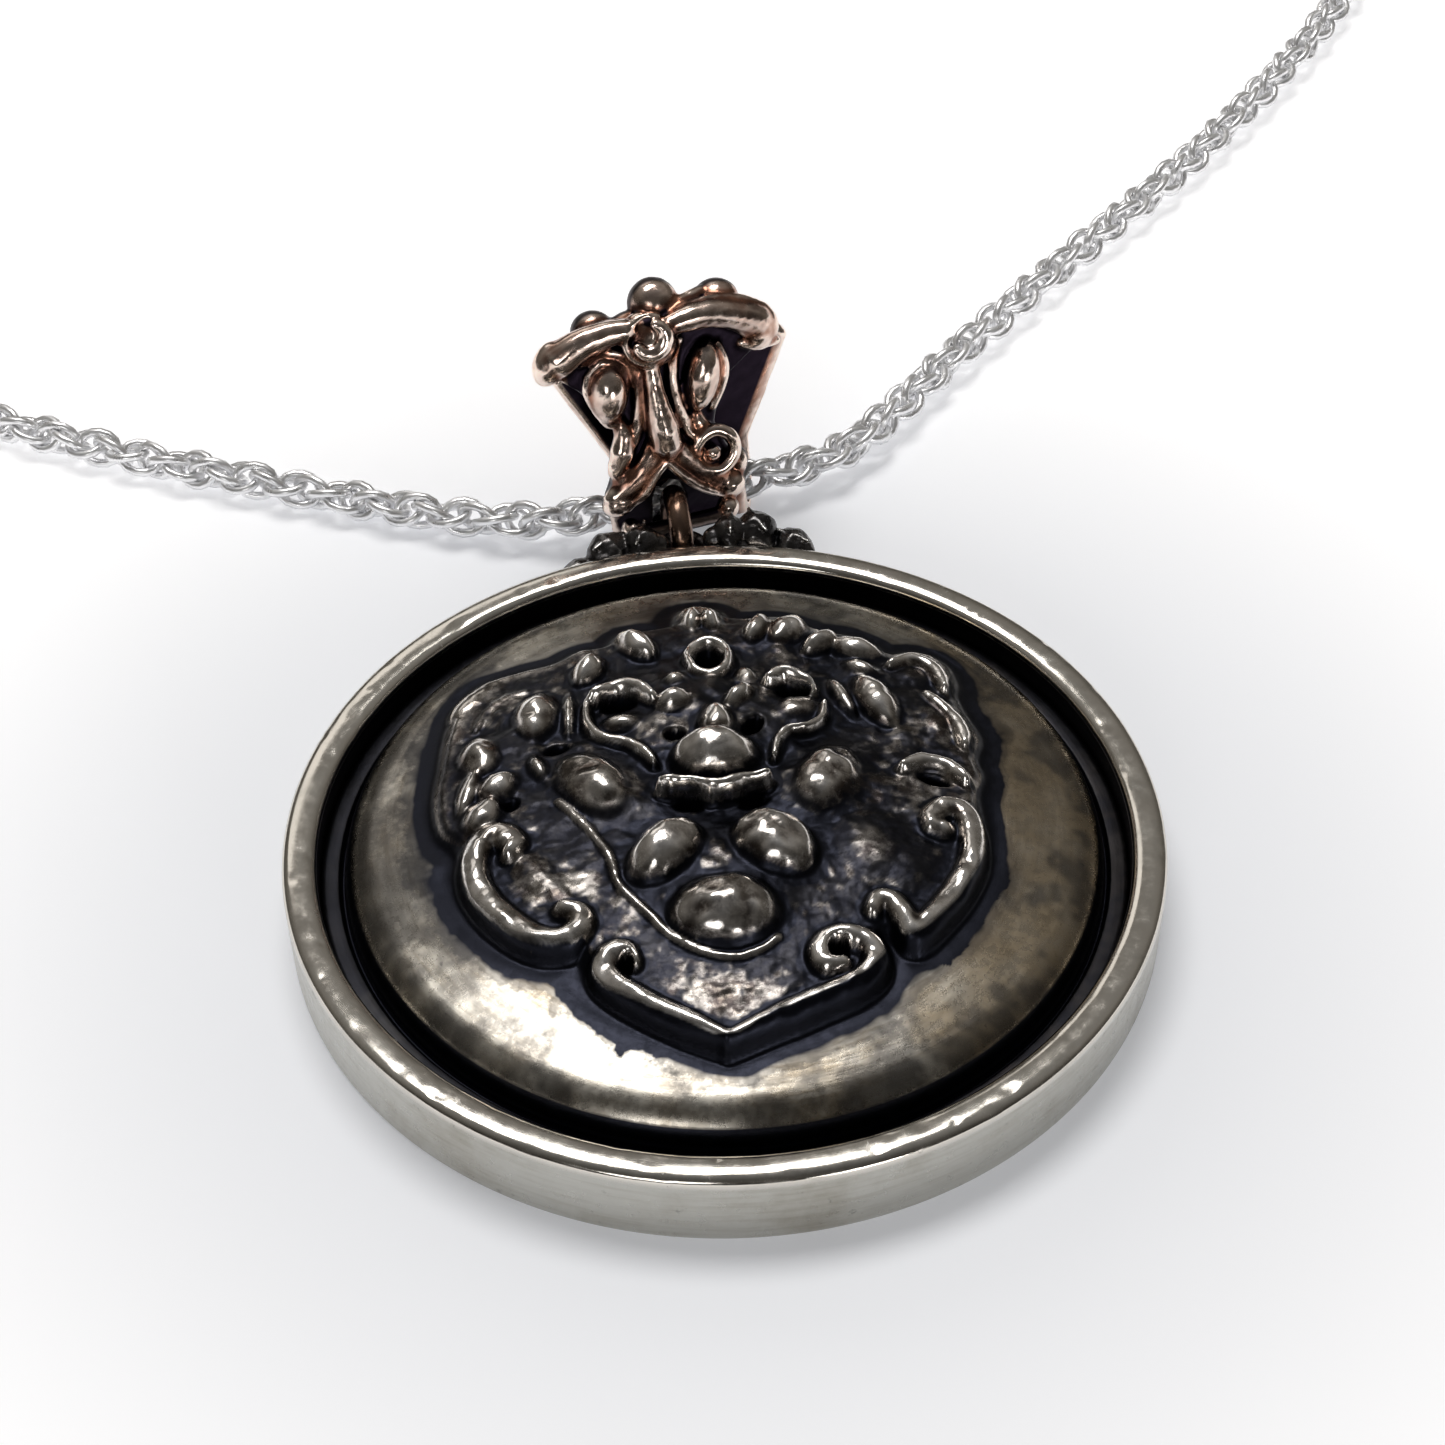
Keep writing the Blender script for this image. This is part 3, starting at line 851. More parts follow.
# Bail: its own frame has X along the chain, Y back through it and Z up the front plate.
bail = {
    "voxel": 0.075, "melt": 4, "rough": 0.014, "lump": 0.55, "spread": 34, "rays": 14, "reach": 2.2,
    "worn": (0.0, 0.05),
    "foot": (-0.70, 19.4405, 2.55),
    "along": (0.96126, 0.27564, 0.0), "back": (-0.26625, 0.92851, -0.25882),
    "up": (-0.07134, 0.24879, 0.96593),
    "seat": (1.947, -0.643), "seatRadius": 1.185, "seatWall": 0.38,
    "rear": 3.1, "wall": 0.6, "wallFoot": 1.6, "topStart": 5.5, "askew": 0.45,
    "footHalf": 3.0, "flareFrom": 0.8, "flareTo": 5.0, "topHalf": 5.2, "topTaper": 0.74,
    # The front plate's half width by height.
    "plateHalf": [(1.0, 2.95), (1.4, 2.75), (3.2, 2.05), (6.0, 2.9), (6.6, 3.1)],
    "crownPlate": [(-2.9, 5.2), (-4.4, 6.6), (-4.2, 7.5), (-2.3, 7.9), (2.3, 7.9), (4.0, 7.4), (4.4, 6.3),
                   (2.9, 5.2)],
    # Slot for the jump ring between the feet.
    "slot": [(-0.35, 1.2), (-0.7, 0.9), (-0.85, 0.2), (-0.85, -1.77), (0.56, -1.77), (0.56, 0.2), (0.3, 0.9)],
    # Below, places are right and up as seen in the front plane, with the depth as third value.
    "seenShift": (0.279, -0.639),
    # Bands and ribs: radii along, depth share, points.
    "bands": [
        ([0.4, 0.46, 0.5, 0.56, 0.62, 0.6], 1.0, [(0.6, 7.4, -0.8), (1.6, 7.55, -0.8), (2.6, 7.5, -0.7),
         (3.5, 7.25, -0.5), (4.2, 6.95, -0.3), (4.4, 6.5, -0.15)]),
        ([0.28, 0.32, 0.34, 0.3], 1.0, [(0.75, 7.95, -0.35), (2.3, 8.05, -0.35), (3.6, 7.85, -0.2),
         (4.6, 7.4, 0.0)]),
        ([0.17, 0.2, 0.17], 1.0, [(3.5, 6.15, -0.35), (4.1, 5.9, -0.45), (5.05, 5.95, -0.2)]),
        ([0.14, 0.18, 0.17, 0.13], 1.0, [(1.0, 7.08, -0.95), (2.2, 7.12, -0.95), (3.2, 6.85, -0.75),
         (3.75, 6.4, -0.5)]),
        ([0.44, 0.5, 0.58, 0.66], 1.0, [(-1.2, 7.6, -0.8), (-2.3, 7.6, -0.7), (-3.3, 7.4, -0.55),
         (-4.15, 7.05, -0.35)]),
        ([0.26, 0.32, 0.3], 1.0, [(-1.3, 8.0, -0.3), (-2.7, 7.95, -0.25), (-4.4, 7.55, 0.0)]),
        ([0.14, 0.2, 0.18], 1.0, [(-4.2, 6.35, -0.35), (-3.2, 6.95, -0.75), (-2.1, 7.15, -0.9)]),
        ([0.2, 0.26, 0.22], 1.0, [(0.0, 8.15, -0.2), (1.1, 8.45, 0.0), (2.1, 8.85, 0.4)]),
        # Rims and bodies beside the rib
        ([0.13, 0.17, 0.19, 0.14], 1.0, [(-3.0, 6.1, -0.5), (-2.35, 6.5, -0.65), (-1.65, 6.25, -0.65),
         (-1.45, 5.5, -0.65), (-1.7, 4.65, -0.6), (-2.25, 3.9, -0.5), (-2.8, 4.7, -0.5),
         (-3.1, 5.5, -0.5), (-3.0, 6.05, -0.5)]),
        ([0.15, 0.2, 0.16], 1.0, [(2.55, 6.3, -0.5), (2.75, 5.4, -0.5), (2.5, 4.5, -0.45),
         (2.05, 3.7, -0.4)]),
        ([0.2, 0.27, 0.29, 0.24], 0.9, [(-3.15, 6.75, -0.4), (-2.4, 7.0, -0.5), (-1.5, 6.7, -0.55),
         (-1.08, 6.0, -0.5), (-0.92, 5.1, -0.5), (-1.0, 4.2, -0.5), (-1.3, 3.3, -0.5),
         (-1.85, 2.4, -0.45)]),
        ([0.24, 0.4, 0.48, 0.36], 0.9, [(-2.0, 4.1, -0.35), (-1.8, 3.3, -0.4), (-1.95, 2.6, -0.45),
         (-2.3, 1.9, -0.45)]),
        ([0.18, 0.25, 0.25, 0.2], 0.9, [(0.95, 6.8, -0.5), (0.62, 6.1, -0.5), (0.5, 5.1, -0.5),
         (0.6, 4.1, -0.5), (0.8, 3.3, -0.5), (1.05, 2.7, -0.55), (1.6, 2.55, -0.65)]),
        ([0.2, 0.32, 0.26], 0.9, [(1.3, 3.9, -0.35), (1.35, 3.2, -0.4), (1.7, 2.8, -0.45)]),
        # Rib, legs and the pale edge of the arch
        ([0.34, 0.38, 0.48, 0.6, 0.64], 1.15, [(-0.38, 6.0, -0.65), (-0.33, 5.0, -0.75),
         (-0.25, 4.0, -0.85), (-0.15, 3.2, -0.85), (-0.12, 2.6, -0.7)]),
        ([0.48, 0.52, 0.52, 0.5, 0.46], 0.9, [(-0.25, 2.9, -0.65), (-0.65, 2.15, -0.62),
         (-1.15, 1.55, -0.55), (-1.85, 1.05, -0.5), (-2.5, 0.7, -0.45)]),
        ([0.48, 0.5, 0.5, 0.48, 0.44], 0.9, [(-0.05, 2.8, -0.65), (0.35, 2.05, -0.62), (0.9, 1.4, -0.55),
         (1.6, 0.85, -0.5), (2.3, 0.4, -0.45)]),
        ([0.15, 0.2, 0.2, 0.16], 1.0, [(-2.3, 0.08, -0.6), (-1.3, 0.5, -0.85), (-0.75, 1.1, -0.95),
         (-0.2, 1.68, -1.0)]),
        ([0.15, 0.2, 0.2, 0.16], 1.0, [(-0.16, 1.68, -1.0), (0.35, 1.05, -0.95), (0.95, 0.45, -0.85),
         (1.6, 0.02, -0.75), (2.3, -0.35, -0.6)]),
    ],
    # Foot scroll: a spiral ending in a boss.
    "scroll": [(1.0, 1.5), (1.4, 1.0), (2.15, 0.85), (2.75, 1.4), (2.7, 2.15), (2.1, 2.6), (1.45, 2.4),
               (1.15, 1.9), (1.5, 1.45), (1.95, 1.5)],
    "scrollDepth": -0.85,
    "scrollRadii": [0.2, 0.28, 0.3, 0.28, 0.2],
    # Lobes, knobs and leaves: place, length, depth, width, turn, how pointed.
    "lobes": [
        (-2.25, 5.3, -0.45, 2.6, 1.9, 1.6, 82, 0.1), (1.7, 5.15, -0.45, 3.1, 1.9, 1.5, 74, 0.15),
        (-4.45, 7.05, -0.2, 1.9, 1.4, 1.35, 62, 0), (4.25, 6.5, -0.15, 1.4, 1.5, 1.5, 0, 0),
        (4.6, 6.75, -0.05, 1.15, 1.35, 1.6, 0, 0), (-0.25, 6.95, -0.6, 2.3, 1.4, 2.3, 0, 0),
        (1.85, 1.65, -0.75, 0.7, 0.8, 0.7, 0, 0), (-0.75, 8.0, -0.4, 1.0, 0.8, 0.6, 20, 0),
        (-2.1, 1.55, -0.35, 1.7, 1.0, 0.9, 72, 0.3), (-2.35, 0.45, -0.4, 1.5, 1.2, 1.05, 10, 0),
        (2.45, 0.2, -0.4, 1.3, 1.2, 1.2, 0, 0), (2.8, 1.2, -0.15, 1.0, 1.0, 1.4, 0, 0),
        (-2.55, 8.12, 0.55, 1.85, 1.8, 1.8, 0, 0), (0.05, 8.85, 0.55, 2.05, 2.0, 2.0, 0, 0),
        (2.68, 8.32, 0.55, 1.95, 1.9, 1.9, 0, 0), (1.3, 8.3, 0.4, 1.8, 1.3, 1.0, -20, 0),
        (-1.4, 8.1, 0.4, 1.6, 1.2, 0.9, 30, 0),
    ],
    # Rings on the middle knob: place, radius, wire, and the turns between which each lies.
    "knobRings": [((-0.25, 6.95, -1.05), 1.0, 0.17, 60, 300), ((-0.2, 6.88, -1.36), 0.62, 0.38, -155, 65)],
    # Lower ends that hold the bar, and the bar: back, up, radius, half length.
    "barEnds": [(-2.1, -0.5, -0.55), (2.1, -0.5, -0.5)],
    "barEndSize": (0.9, 1.2, 1.0),
    "bar": (-0.594, -0.729, 0.35, 2.1),
    # Rubbed bright: place as seen, half width, half height, amount.
    "polished": [
        (-0.32, 5.4, 0.26, 0.7, 1.0), (-0.2, 3.4, 0.34, 0.9, 1.0), (0.05, 6.65, 0.5, 0.5, 1.0),
        (-2.3, 5.2, 0.55, 0.7, 0.9), (1.75, 5.2, 0.35, 0.9, 0.9), (-4.5, 7.0, 0.5, 0.6, 0.9),
        (2.7, 1.8, 0.45, 0.8, 0.9), (1.3, 7.6, 0.9, 0.25, 0.8), (-2.4, 0.3, 0.6, 0.3, 0.8),
        (2.6, 0.1, 0.5, 0.3, 0.7),
    ],
    "fullness": 1.12,  # wire radii as a share of the bands' table
    "plateFace": -0.42,  # what lies further back on the front is dark
}


def halfWidth(up):
    # Of the loop, by height: it flares from the foot and narrows again over the top.
    share = np.clip((up - bail["flareFrom"]) / (bail["flareTo"] - bail["flareFrom"]), 0, 1)
    flared = bail["footHalf"] + (bail["topHalf"] - bail["footHalf"]) * share
    return flared - np.maximum(0, up - bail["flareTo"]) * bail["topTaper"]


def strapShell():
    # The loop's side outline, from the seat up the front and over: back, up, wall and share of the front.
    seatBack, seatUp = bail["seat"]
    rear, wall, wallFoot, topStart = bail["rear"], bail["wall"], bail["wallFoot"], bail["topStart"]
    seatRadius, seatWall = bail["seatRadius"], bail["seatWall"]

    def seatArc(start, end, count):
        arc = []
        for a in np.radians(np.linspace(start, end, count)):
            arc.append((seatBack + seatRadius * math.cos(a), seatUp + seatRadius * math.sin(a), seatWall, 0))
        return arc

    line = seatArc(270, 180, 12)
    for t in np.linspace(0.12, 1, 9):
        line.append(((seatBack - seatRadius) * (1 - t), seatUp + (wallFoot - seatUp) * t,
                     seatWall + (wall - seatWall) * t, t))
    line += [(0.0, z, wall, 1) for z in np.linspace(wallFoot + 0.15, topStart, 34)]
    for turn in np.linspace(172, 8, 21):
        a = math.radians(turn)
        line.append((rear / 2 + rear / 2 * math.cos(a), topStart + rear / 2 * math.sin(a), wall, turn > 145))
    line += [(rear, z, wall, 0) for z in np.linspace(topStart, wallFoot, 22)]
    for t in np.linspace(0.1, 1, 8):
        line.append((rear + (seatBack + seatRadius - rear) * t, wallFoot + (seatUp - wallFoot) * t,
                     wall + (seatWall - wall) * t, 0))
    line += seatArc(352, 278, 10)
    line = np.array(line)
    heading = np.roll(line[:, :2], -1, 0) - np.roll(line[:, :2], 1, 0)
    heading /= np.linalg.norm(heading, axis=1, keepdims=True)
    outward = np.stack([-heading[:, 1], heading[:, 0]], 1)
    plateUp, plateHalf = np.array(bail["plateHalf"]).T
    points, across = [], 19
    turns = np.radians([60, 30, 0, -30, -60])
    for (backPlace, up, thick, front), (outBack, outUp) in zip(line, outward):
        half, edge = halfWidth(up), thick / 2
        if front and plateUp[0] < up < plateUp[-1]:
            half = min(half, np.interp(up, plateUp, plateHalf))
        flat = half - edge
        section = [(u, edge) for u in np.linspace(-flat, flat, across)]
        section += [(flat + edge * math.cos(a), edge * math.sin(a)) for a in turns]
        section += [(u, -edge) for u in np.linspace(flat, -flat, across)]
        section += [(-flat - edge * math.cos(a), -edge * math.sin(a)) for a in turns]
        shift = bail["askew"] * backPlace
        points += [(u + shift, backPlace + outBack * t, up + outUp * t) for u, t in section]
    size, count = 2 * across + 10, len(line)
    faces = []
    for i in range(count):
        for k in range(size):
            a, b, following = i * size + k, i * size + (k + 1) % size, ((i + 1) % count) * size
            faces.append((a, b, following + (k + 1) % size, following + k))
    return np.array(points), faces


def blockShell(corners, near, far):
    # A flat outline, right and up, made as thick as from near to far.
    size = len(corners)
    walls = [(k, (k + 1) % size, size + (k + 1) % size, size + k) for k in range(size)]
    points = np.array([(u, v, w) for v in (near, far) for u, w in corners])
    return points, walls + [tuple(range(size))[::-1], tuple(range(size, 2 * size))]


def makeBail():
    strap = looseMesh("strap", *strapShell())
    cutter = looseMesh("slotCutter", *blockShell(bail["slot"], -2.0, 1.2))
    settled(strap, "BOOLEAN", operation="DIFFERENCE", solver="EXACT", object=cutter)
    shells = [(meshArrays(strap.data)[0], [tuple(face.vertices) for face in strap.data.polygons])]
    shells.append(blockShell(bail["crownPlate"], -bail["wall"] / 2, bail["wall"] / 2))
    bpy.data.objects.remove(strap)
    bpy.data.objects.remove(cutter)

    def real(u, w, v):
        # From a place as seen in the front plane to the place at its depth, along the line of sight.
        return (u + bail["seenShift"][0] * v, v, w + bail["seenShift"][1] * v)

    for radii, depth, points in bail["bands"]:
        radii = np.array(radii) * bail["fullness"]
        shells.append(tubeShell(smoothCurve([real(*point) for point in points], 6), radii, depth))
    scroll = [real(u, w, bail["scrollDepth"] + 0.03 * k) for k, (u, w) in enumerate(bail["scroll"])]
    shells.append(tubeShell(smoothCurve(scroll, 6), bail["scrollRadii"], 0.9))
    for u, w, v, length, depth, width, turn, pointed in bail["lobes"]:
        shells.append(eggShell(real(u, w, v), (length, depth, width), turn, pointed))
    for seen, radius, wire, start, end in bail["knobRings"]:
        u, v, w = real(*seen)
        turns = np.radians(np.linspace(start, end, 30))
        loop = [(u + radius * math.cos(a), v, w + radius * math.sin(a)) for a in turns]
        shells.append(tubeShell(loop, [0.6 * wire, wire, wire, 0.6 * wire]))
    for middle in bail["barEnds"]:
        shells.append(eggShell(middle, bail["barEndSize"]))
    v, w, radius, half = bail["bar"]
    shells.append(tubeShell([(u, v, w) for u in np.linspace(-half, half, 15)], [radius]))

    def deepen(places, facing):
        # Dark inside the loop and on the front plate's ground.
        u, v, w = places.T
        ground = softStep(bail["plateFace"] - 0.12, bail["plateFace"] + 0.1, v) * softStep(0.6, 0.2, v)
        ground *= softStep(7.6, 7.2, w) * softStep(4.2, 3.8, np.abs(u))
        inside = (v > 0.2) & (v < bail["rear"] - 0.2) & (w < bail["topStart"] + 1.35)
        inside &= np.abs(facing[:, 0]) < 0.85
        # The loop's outer edges stay bare.
        inside = inside * softStep(0.3, 0.6, halfWidth(w) - np.abs(u - bail["askew"] * v))
        below = softStep(-0.1, -0.35, w) * softStep(-1.1, -0.8, v) * softStep(2.0, 1.7, np.abs(u + 0.2))
        crown = 0.82 * softStep(0.15, 0.4, v) * softStep(7.2, 7.6, w)
        return np.maximum(np.maximum(ground * 0.92, crown), np.maximum(inside * 0.95, below * 0.95))

    def polish(places):
        u, v, w = places.T
        seenU, seenW = u - bail["seenShift"][0] * v, w - bail["seenShift"][1] * v
        shine = np.zeros(len(places))
        for middleU, middleW, wide, tall, amount in bail["polished"]:
            away = ((seenU - middleU) / wide) ** 2 + ((seenW - middleW) / tall) ** 2
            shine = np.maximum(shine, amount * np.exp(-(away**2)))
        return shine * softStep(-0.6, -1.0, v)

    place = Matrix((bail["along"], bail["back"], bail["up"])).transposed().to_4x4()
    place.translation = Vector(bail["foot"])
    return castPiece("bailCasting", shells, bail, place, deepen, polish)


# Jump ring: round wire with faint flats of the pliers and a soldered joint.
jumpRing = {
    "side": -0.55, "near": 16.7619, "height": 2.0, "radius": 1.45, "wire": 0.5, "turn": 6.0,
    "columns": 128, "sides": 36,
}


def makeJumpRing():
    columns, sides = jumpRing["columns"], jumpRing["sides"]
    roundRing, roundWire = np.arange(columns) * 2 * math.pi / columns, np.arange(sides) * 2 * math.pi / sides
    a, b = np.meshgrid(roundRing, roundWire, indexing="ij")
    wire = jumpRing["wire"] - 0.018 + 0.012 * lattice(np.cos(a) * 2, np.sin(a) * 2 + np.cos(b) * 0.4, 0.7, 61)
    out = jumpRing["radius"] + wire * np.cos(b)
    x, y, z = wire * np.sin(b), jumpRing["radius"] + out * np.cos(a), out * np.sin(a)
    turn = math.radians(jumpRing["turn"])
    own = np.stack([jumpRing["side"] + x * math.cos(turn) - y * math.sin(turn),
                    jumpRing["near"] + x * math.sin(turn) + y * math.cos(turn), jumpRing["height"] + z], -1)
    index = np.arange(columns * sides).reshape(columns, sides)
    ahead, over = np.roll(index, -1, 0), np.roll(index, -1, 1)
    faces = np.stack([index, over, np.roll(ahead, -1, 1), ahead], -1).reshape(-1, 4).tolist()
    return newPiece("jumpRingWire", own.reshape(-1, 3), faces)


# Metal finishes: clean colour, worn colour and dark colour, mixed by the mesh's recess and worn values.
finishes = {
    "plateFinish": {
        "clean": (0.52, 0.49, 0.435), "worn": (0.94, 0.90, 0.86), "dark": (0.014, 0.015, 0.021),
        "stain": (0.27, 0.23, 0.175), "stainSize": 230, "stainFrom": 0.47, "stainTo": 0.70,
        "rough": (0.27, 0.19, 0.34), "grain": 2600, "grainDepth": 0.24, "brush": 0.55, "flecks": 0.5,
        "inner": (0.50, 0.46, 0.425), "innerStain": (0.085, 0.066, 0.056), "innerRough": 0.15,
        "tarnish": (0.10, 0.094, 0.088), "gold": (0.35, 0.285, 0.20),
    },
    "frameFinish": {
        "clean": (0.55, 0.54, 0.495), "worn": (0.72, 0.68, 0.62), "dark": (0.014, 0.012, 0.012),
        "stain": (0.40, 0.375, 0.32), "stainSize": 240, "stainFrom": 0.45, "stainTo": 0.75,
        "rough": (0.30, 0.12, 0.42), "grain": 1800, "grainDepth": 0.12, "brush": 0.35, "flecks": 0.35,
    },
    "crestFinish": {
        "clean": (0.12, 0.112, 0.11), "worn": (0.72, 0.71, 0.69), "dark": (0.010, 0.010, 0.012),
        "stain": (0.05, 0.048, 0.05), "stainSize": 420, "stainFrom": 0.36, "stainTo": 0.62,
        "rough": (0.24, 0.15, 0.45), "grain": 2200, "grainDepth": 0.25, "brush": 0.0, "flecks": 0.4,
    },
    "bailFinish": {
        "clean": (0.36, 0.175, 0.115), "worn": (1.0, 0.84, 0.74), "dark": (0.014, 0.010, 0.016),
        "stain": (0.13, 0.065, 0.052), "stainSize": 420, "stainFrom": 0.42, "stainTo": 0.62,
        "rough": (0.20, 0.14, 0.38), "grain": 2200, "grainDepth": 0.14, "brush": 0.0, "flecks": 0.1,
    },
    "ringFinish": {
        "clean": (0.26, 0.17, 0.125), "worn": (0.80, 0.66, 0.55), "dark": (0.03, 0.02, 0.018),
        "stain": (0.10, 0.062, 0.05), "stainSize": 500, "stainFrom": 0.42, "stainTo": 0.66,
        "rough": (0.20, 0.15, 0.5), "grain": 2000, "grainDepth": 0.12, "brush": 0.0, "flecks": 0.2,
    },
    "chainFinish": {
        "clean": (0.94, 0.94, 0.95), "worn": (0.97, 0.97, 0.97), "dark": (0.30, 0.30, 0.31),
        "stain": (0.80, 0.80, 0.82), "stainSize": 700, "stainFrom": 0.5, "stainTo": 0.8,
        "rough": (0.30, 0.2, 0.4), "grain": 2600, "grainDepth": 0.10, "brush": 0.0, "flecks": 0.1,
        "metallic": 0.75,
    },
}


# For all finishes: strokes round the axis, bump height in metres, where patina and flecks begin and end.
surface = {
    "strokeSize": 420, "strokeLength": 0.016, "strokeSteep": 14.0, "bumpHeight": 0.00005,
    "patina": (0.18, 0.8), "fleckGrain": (0.62, 0.74), "fleckPatch": (0.5, 0.62),
    "mottleSize": 1050, "mottle": (0.40, 0.58),
}


def metalFinish(name):
    given = finishes[name]
    material = bpy.data.materials.new(name)
    material.use_nodes = True
    add, links = nodeMaker(material.node_tree), material.node_tree.links
    shader = material.node_tree.nodes["Principled BSDF"]
    shader.inputs["Metallic"].default_value = given.get("metallic", 1.0)
    place = add("ShaderNodeTexCoord")["Object"]

    def noise(size, detail, rough, where=place):
        inputs = {"Vector": where, "Scale": size, "Detail": detail, "Roughness": rough}
        return add("ShaderNodeTexNoise", inputs)["Fac"]

    def mapped(value, low, high, toLow=0.0, toHigh=1.0):
        inputs = {"Value": value, "From Min": low, "From Max": high, "To Min": toLow, "To Max": toHigh}
        return add("ShaderNodeMapRange", inputs, interpolation_type="SMOOTHSTEP")["Result"]

    def combined(kind, a, b):
        return add("ShaderNodeMath", {0: a, 1: b}, operation=kind, use_clamp=True)["Value"]

    def vectors(kind, inputs, result="Vector"):
        return add("ShaderNodeVectorMath", inputs, operation=kind)[result]

    def blended(share, a, b, kind="RGBA"):
        first, result = (6, 2) if kind == "RGBA" else (2, 0)
        a, b = ((*value, 1) if isinstance(value, tuple) else value for value in (a, b))
        return add("ShaderNodeMix", {0: share, first: a, first + 1: b}, data_type=kind)[result]

    def shade(attribute):
        return add("ShaderNodeAttribute", attribute_name=attribute)["Fac"]

    stain = mapped(noise(given["stainSize"], 8.0, 0.65), given["stainFrom"], given["stainTo"])
    speck = noise(given["grain"], 4.0, 0.7)
    ragged = noise(given["grain"] / 4, 6.0, 0.75)
    recess = shade("recess")
    # The dark patina's edge is ragged: noise counts where the recess value is in between.
    between = combined("MULTIPLY", combined("MULTIPLY", recess, combined("SUBTRACT", 1.0, recess)), 2.6)
    uneven = combined("MULTIPLY", between, combined("ADD", ragged, combined("MULTIPLY", speck, 0.6)))
    level = combined("SUBTRACT", combined("ADD", recess, uneven), combined("MULTIPLY", between, 0.75))
    dark = mapped(level, *surface["patina"])
    patches = mapped(ragged, *surface["fleckPatch"])
    flecks = combined("MULTIPLY", mapped(speck, *surface["fleckGrain"]), patches)
    dark = combined("MAXIMUM", dark, combined("MULTIPLY", flecks, given["flecks"]))
    worn = combined("MULTIPLY", shade("worn"), mapped(ragged, 0.3, 0.55, 0.45, 1.0))
    clean, rubbed, tarnished = given["rough"]
    relief = combined("MULTIPLY", speck, 1.0 - given["brush"])
    if given["brush"]:
        # Fine strokes round the axis: the noise runs along the circle and changes fast across it.
        parts = add("ShaderNodeSeparateXYZ", {"Vector": place})
        flat = add("ShaderNodeCombineXYZ", {"X": parts["X"], "Y": parts["Y"]})["Vector"]
        sized = vectors("SCALE", {0: vectors("NORMALIZE", {0: flat}), "Scale": surface["strokeLength"]})
        reach = vectors("LENGTH", {0: flat}, "Value")
        across = add("ShaderNodeMath", {0: reach, 1: parts["Z"]}, operation="ADD")["Value"]
        steep = add("ShaderNodeMath", {0: across, 1: surface["strokeSteep"]}, operation="MULTIPLY")["Value"]
        lift = add("ShaderNodeCombineXYZ", {"Z": steep})["Vector"]
        strokes = noise(surface["strokeSize"], 5.0, 0.6, vectors("ADD", {0: sized, 1: lift}))
        streaks = combined("MULTIPLY", mapped(strokes, 0.42, 0.7), given["brush"])
        stain = combined("ADD", combined("MULTIPLY", stain, 1.0 - given["brush"] / 2), streaks)
        relief = combined("ADD", relief, combined("MULTIPLY", strokes, given["brush"]))
    colour = blended(stain, given["clean"], given["stain"])
    rough = blended(worn, clean, rubbed, "FLOAT")
    for tone in ("gold", "tarnish"):
        if tone in given:
            patchy = combined("MULTIPLY", shade(tone), mapped(ragged, 0.3, 0.6, 0.6, 1.0))
            colour = blended(patchy, colour, given[tone])
    if "inner" in given:
        inner = combined("MULTIPLY", shade("inField"), mapped(ragged, 0.3, 0.6, 0.7, 1.0))
        mottle = mapped(noise(surface["mottleSize"], 6.0, 0.72), *surface["mottle"])
        colour = blended(inner, colour, blended(mottle, given["inner"], given["innerStain"]))
        rough = blended(inner, rough, given["innerRough"], "FLOAT")
    colour = blended(dark, blended(worn, colour, given["worn"]), given["dark"])
    rough = blended(dark, rough, tarnished, "FLOAT")
    bumps = {"Strength": given["grainDepth"], "Distance": surface["bumpHeight"], "Height": relief}
    links.new(colour, shader.inputs["Base Color"])
    links.new(combined("ADD", rough, mapped(speck, 0.3, 0.8, -0.04, 0.12)), shader.inputs["Roughness"])
    links.new(add("ShaderNodeBump", bumps)["Normal"], shader.inputs["Normal"])
    return material


def dressed(piece, finish, slot, *nodes):
    piece.data.materials.clear()
    piece.data.materials.append(finish)
    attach(piece, "root")
    if nodes:
        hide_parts(*nodes)
    return piece


# The pieces and their finishes
made = {name: metalFinish(name) for name in finishes}
ropeLinks = makeChain(made["chainFinish"])
dressed(ropeLinks, made["chainFinish"], "bright_silver", "rope_chain")
dressed(makePlate(), made["plateFinish"], "patinated_silver", "domed_plate")
dressed(makeFrame(), made["frameFinish"], "aged_silver", "frame_ring")
dressed(makeCrest(), made["crestFinish"], "aged_silver", "frame_ring")
dressed(makeBail(), made["bailFinish"], "rose_bronze", "bail")
dressed(makeJumpRing(), made["ringFinish"], "bronze_wire", "jump_ring")
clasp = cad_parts["clasp"]
clasp.data.materials.clear()
clasp.data.materials.append(made["chainFinish"])
print("pieces dressed")

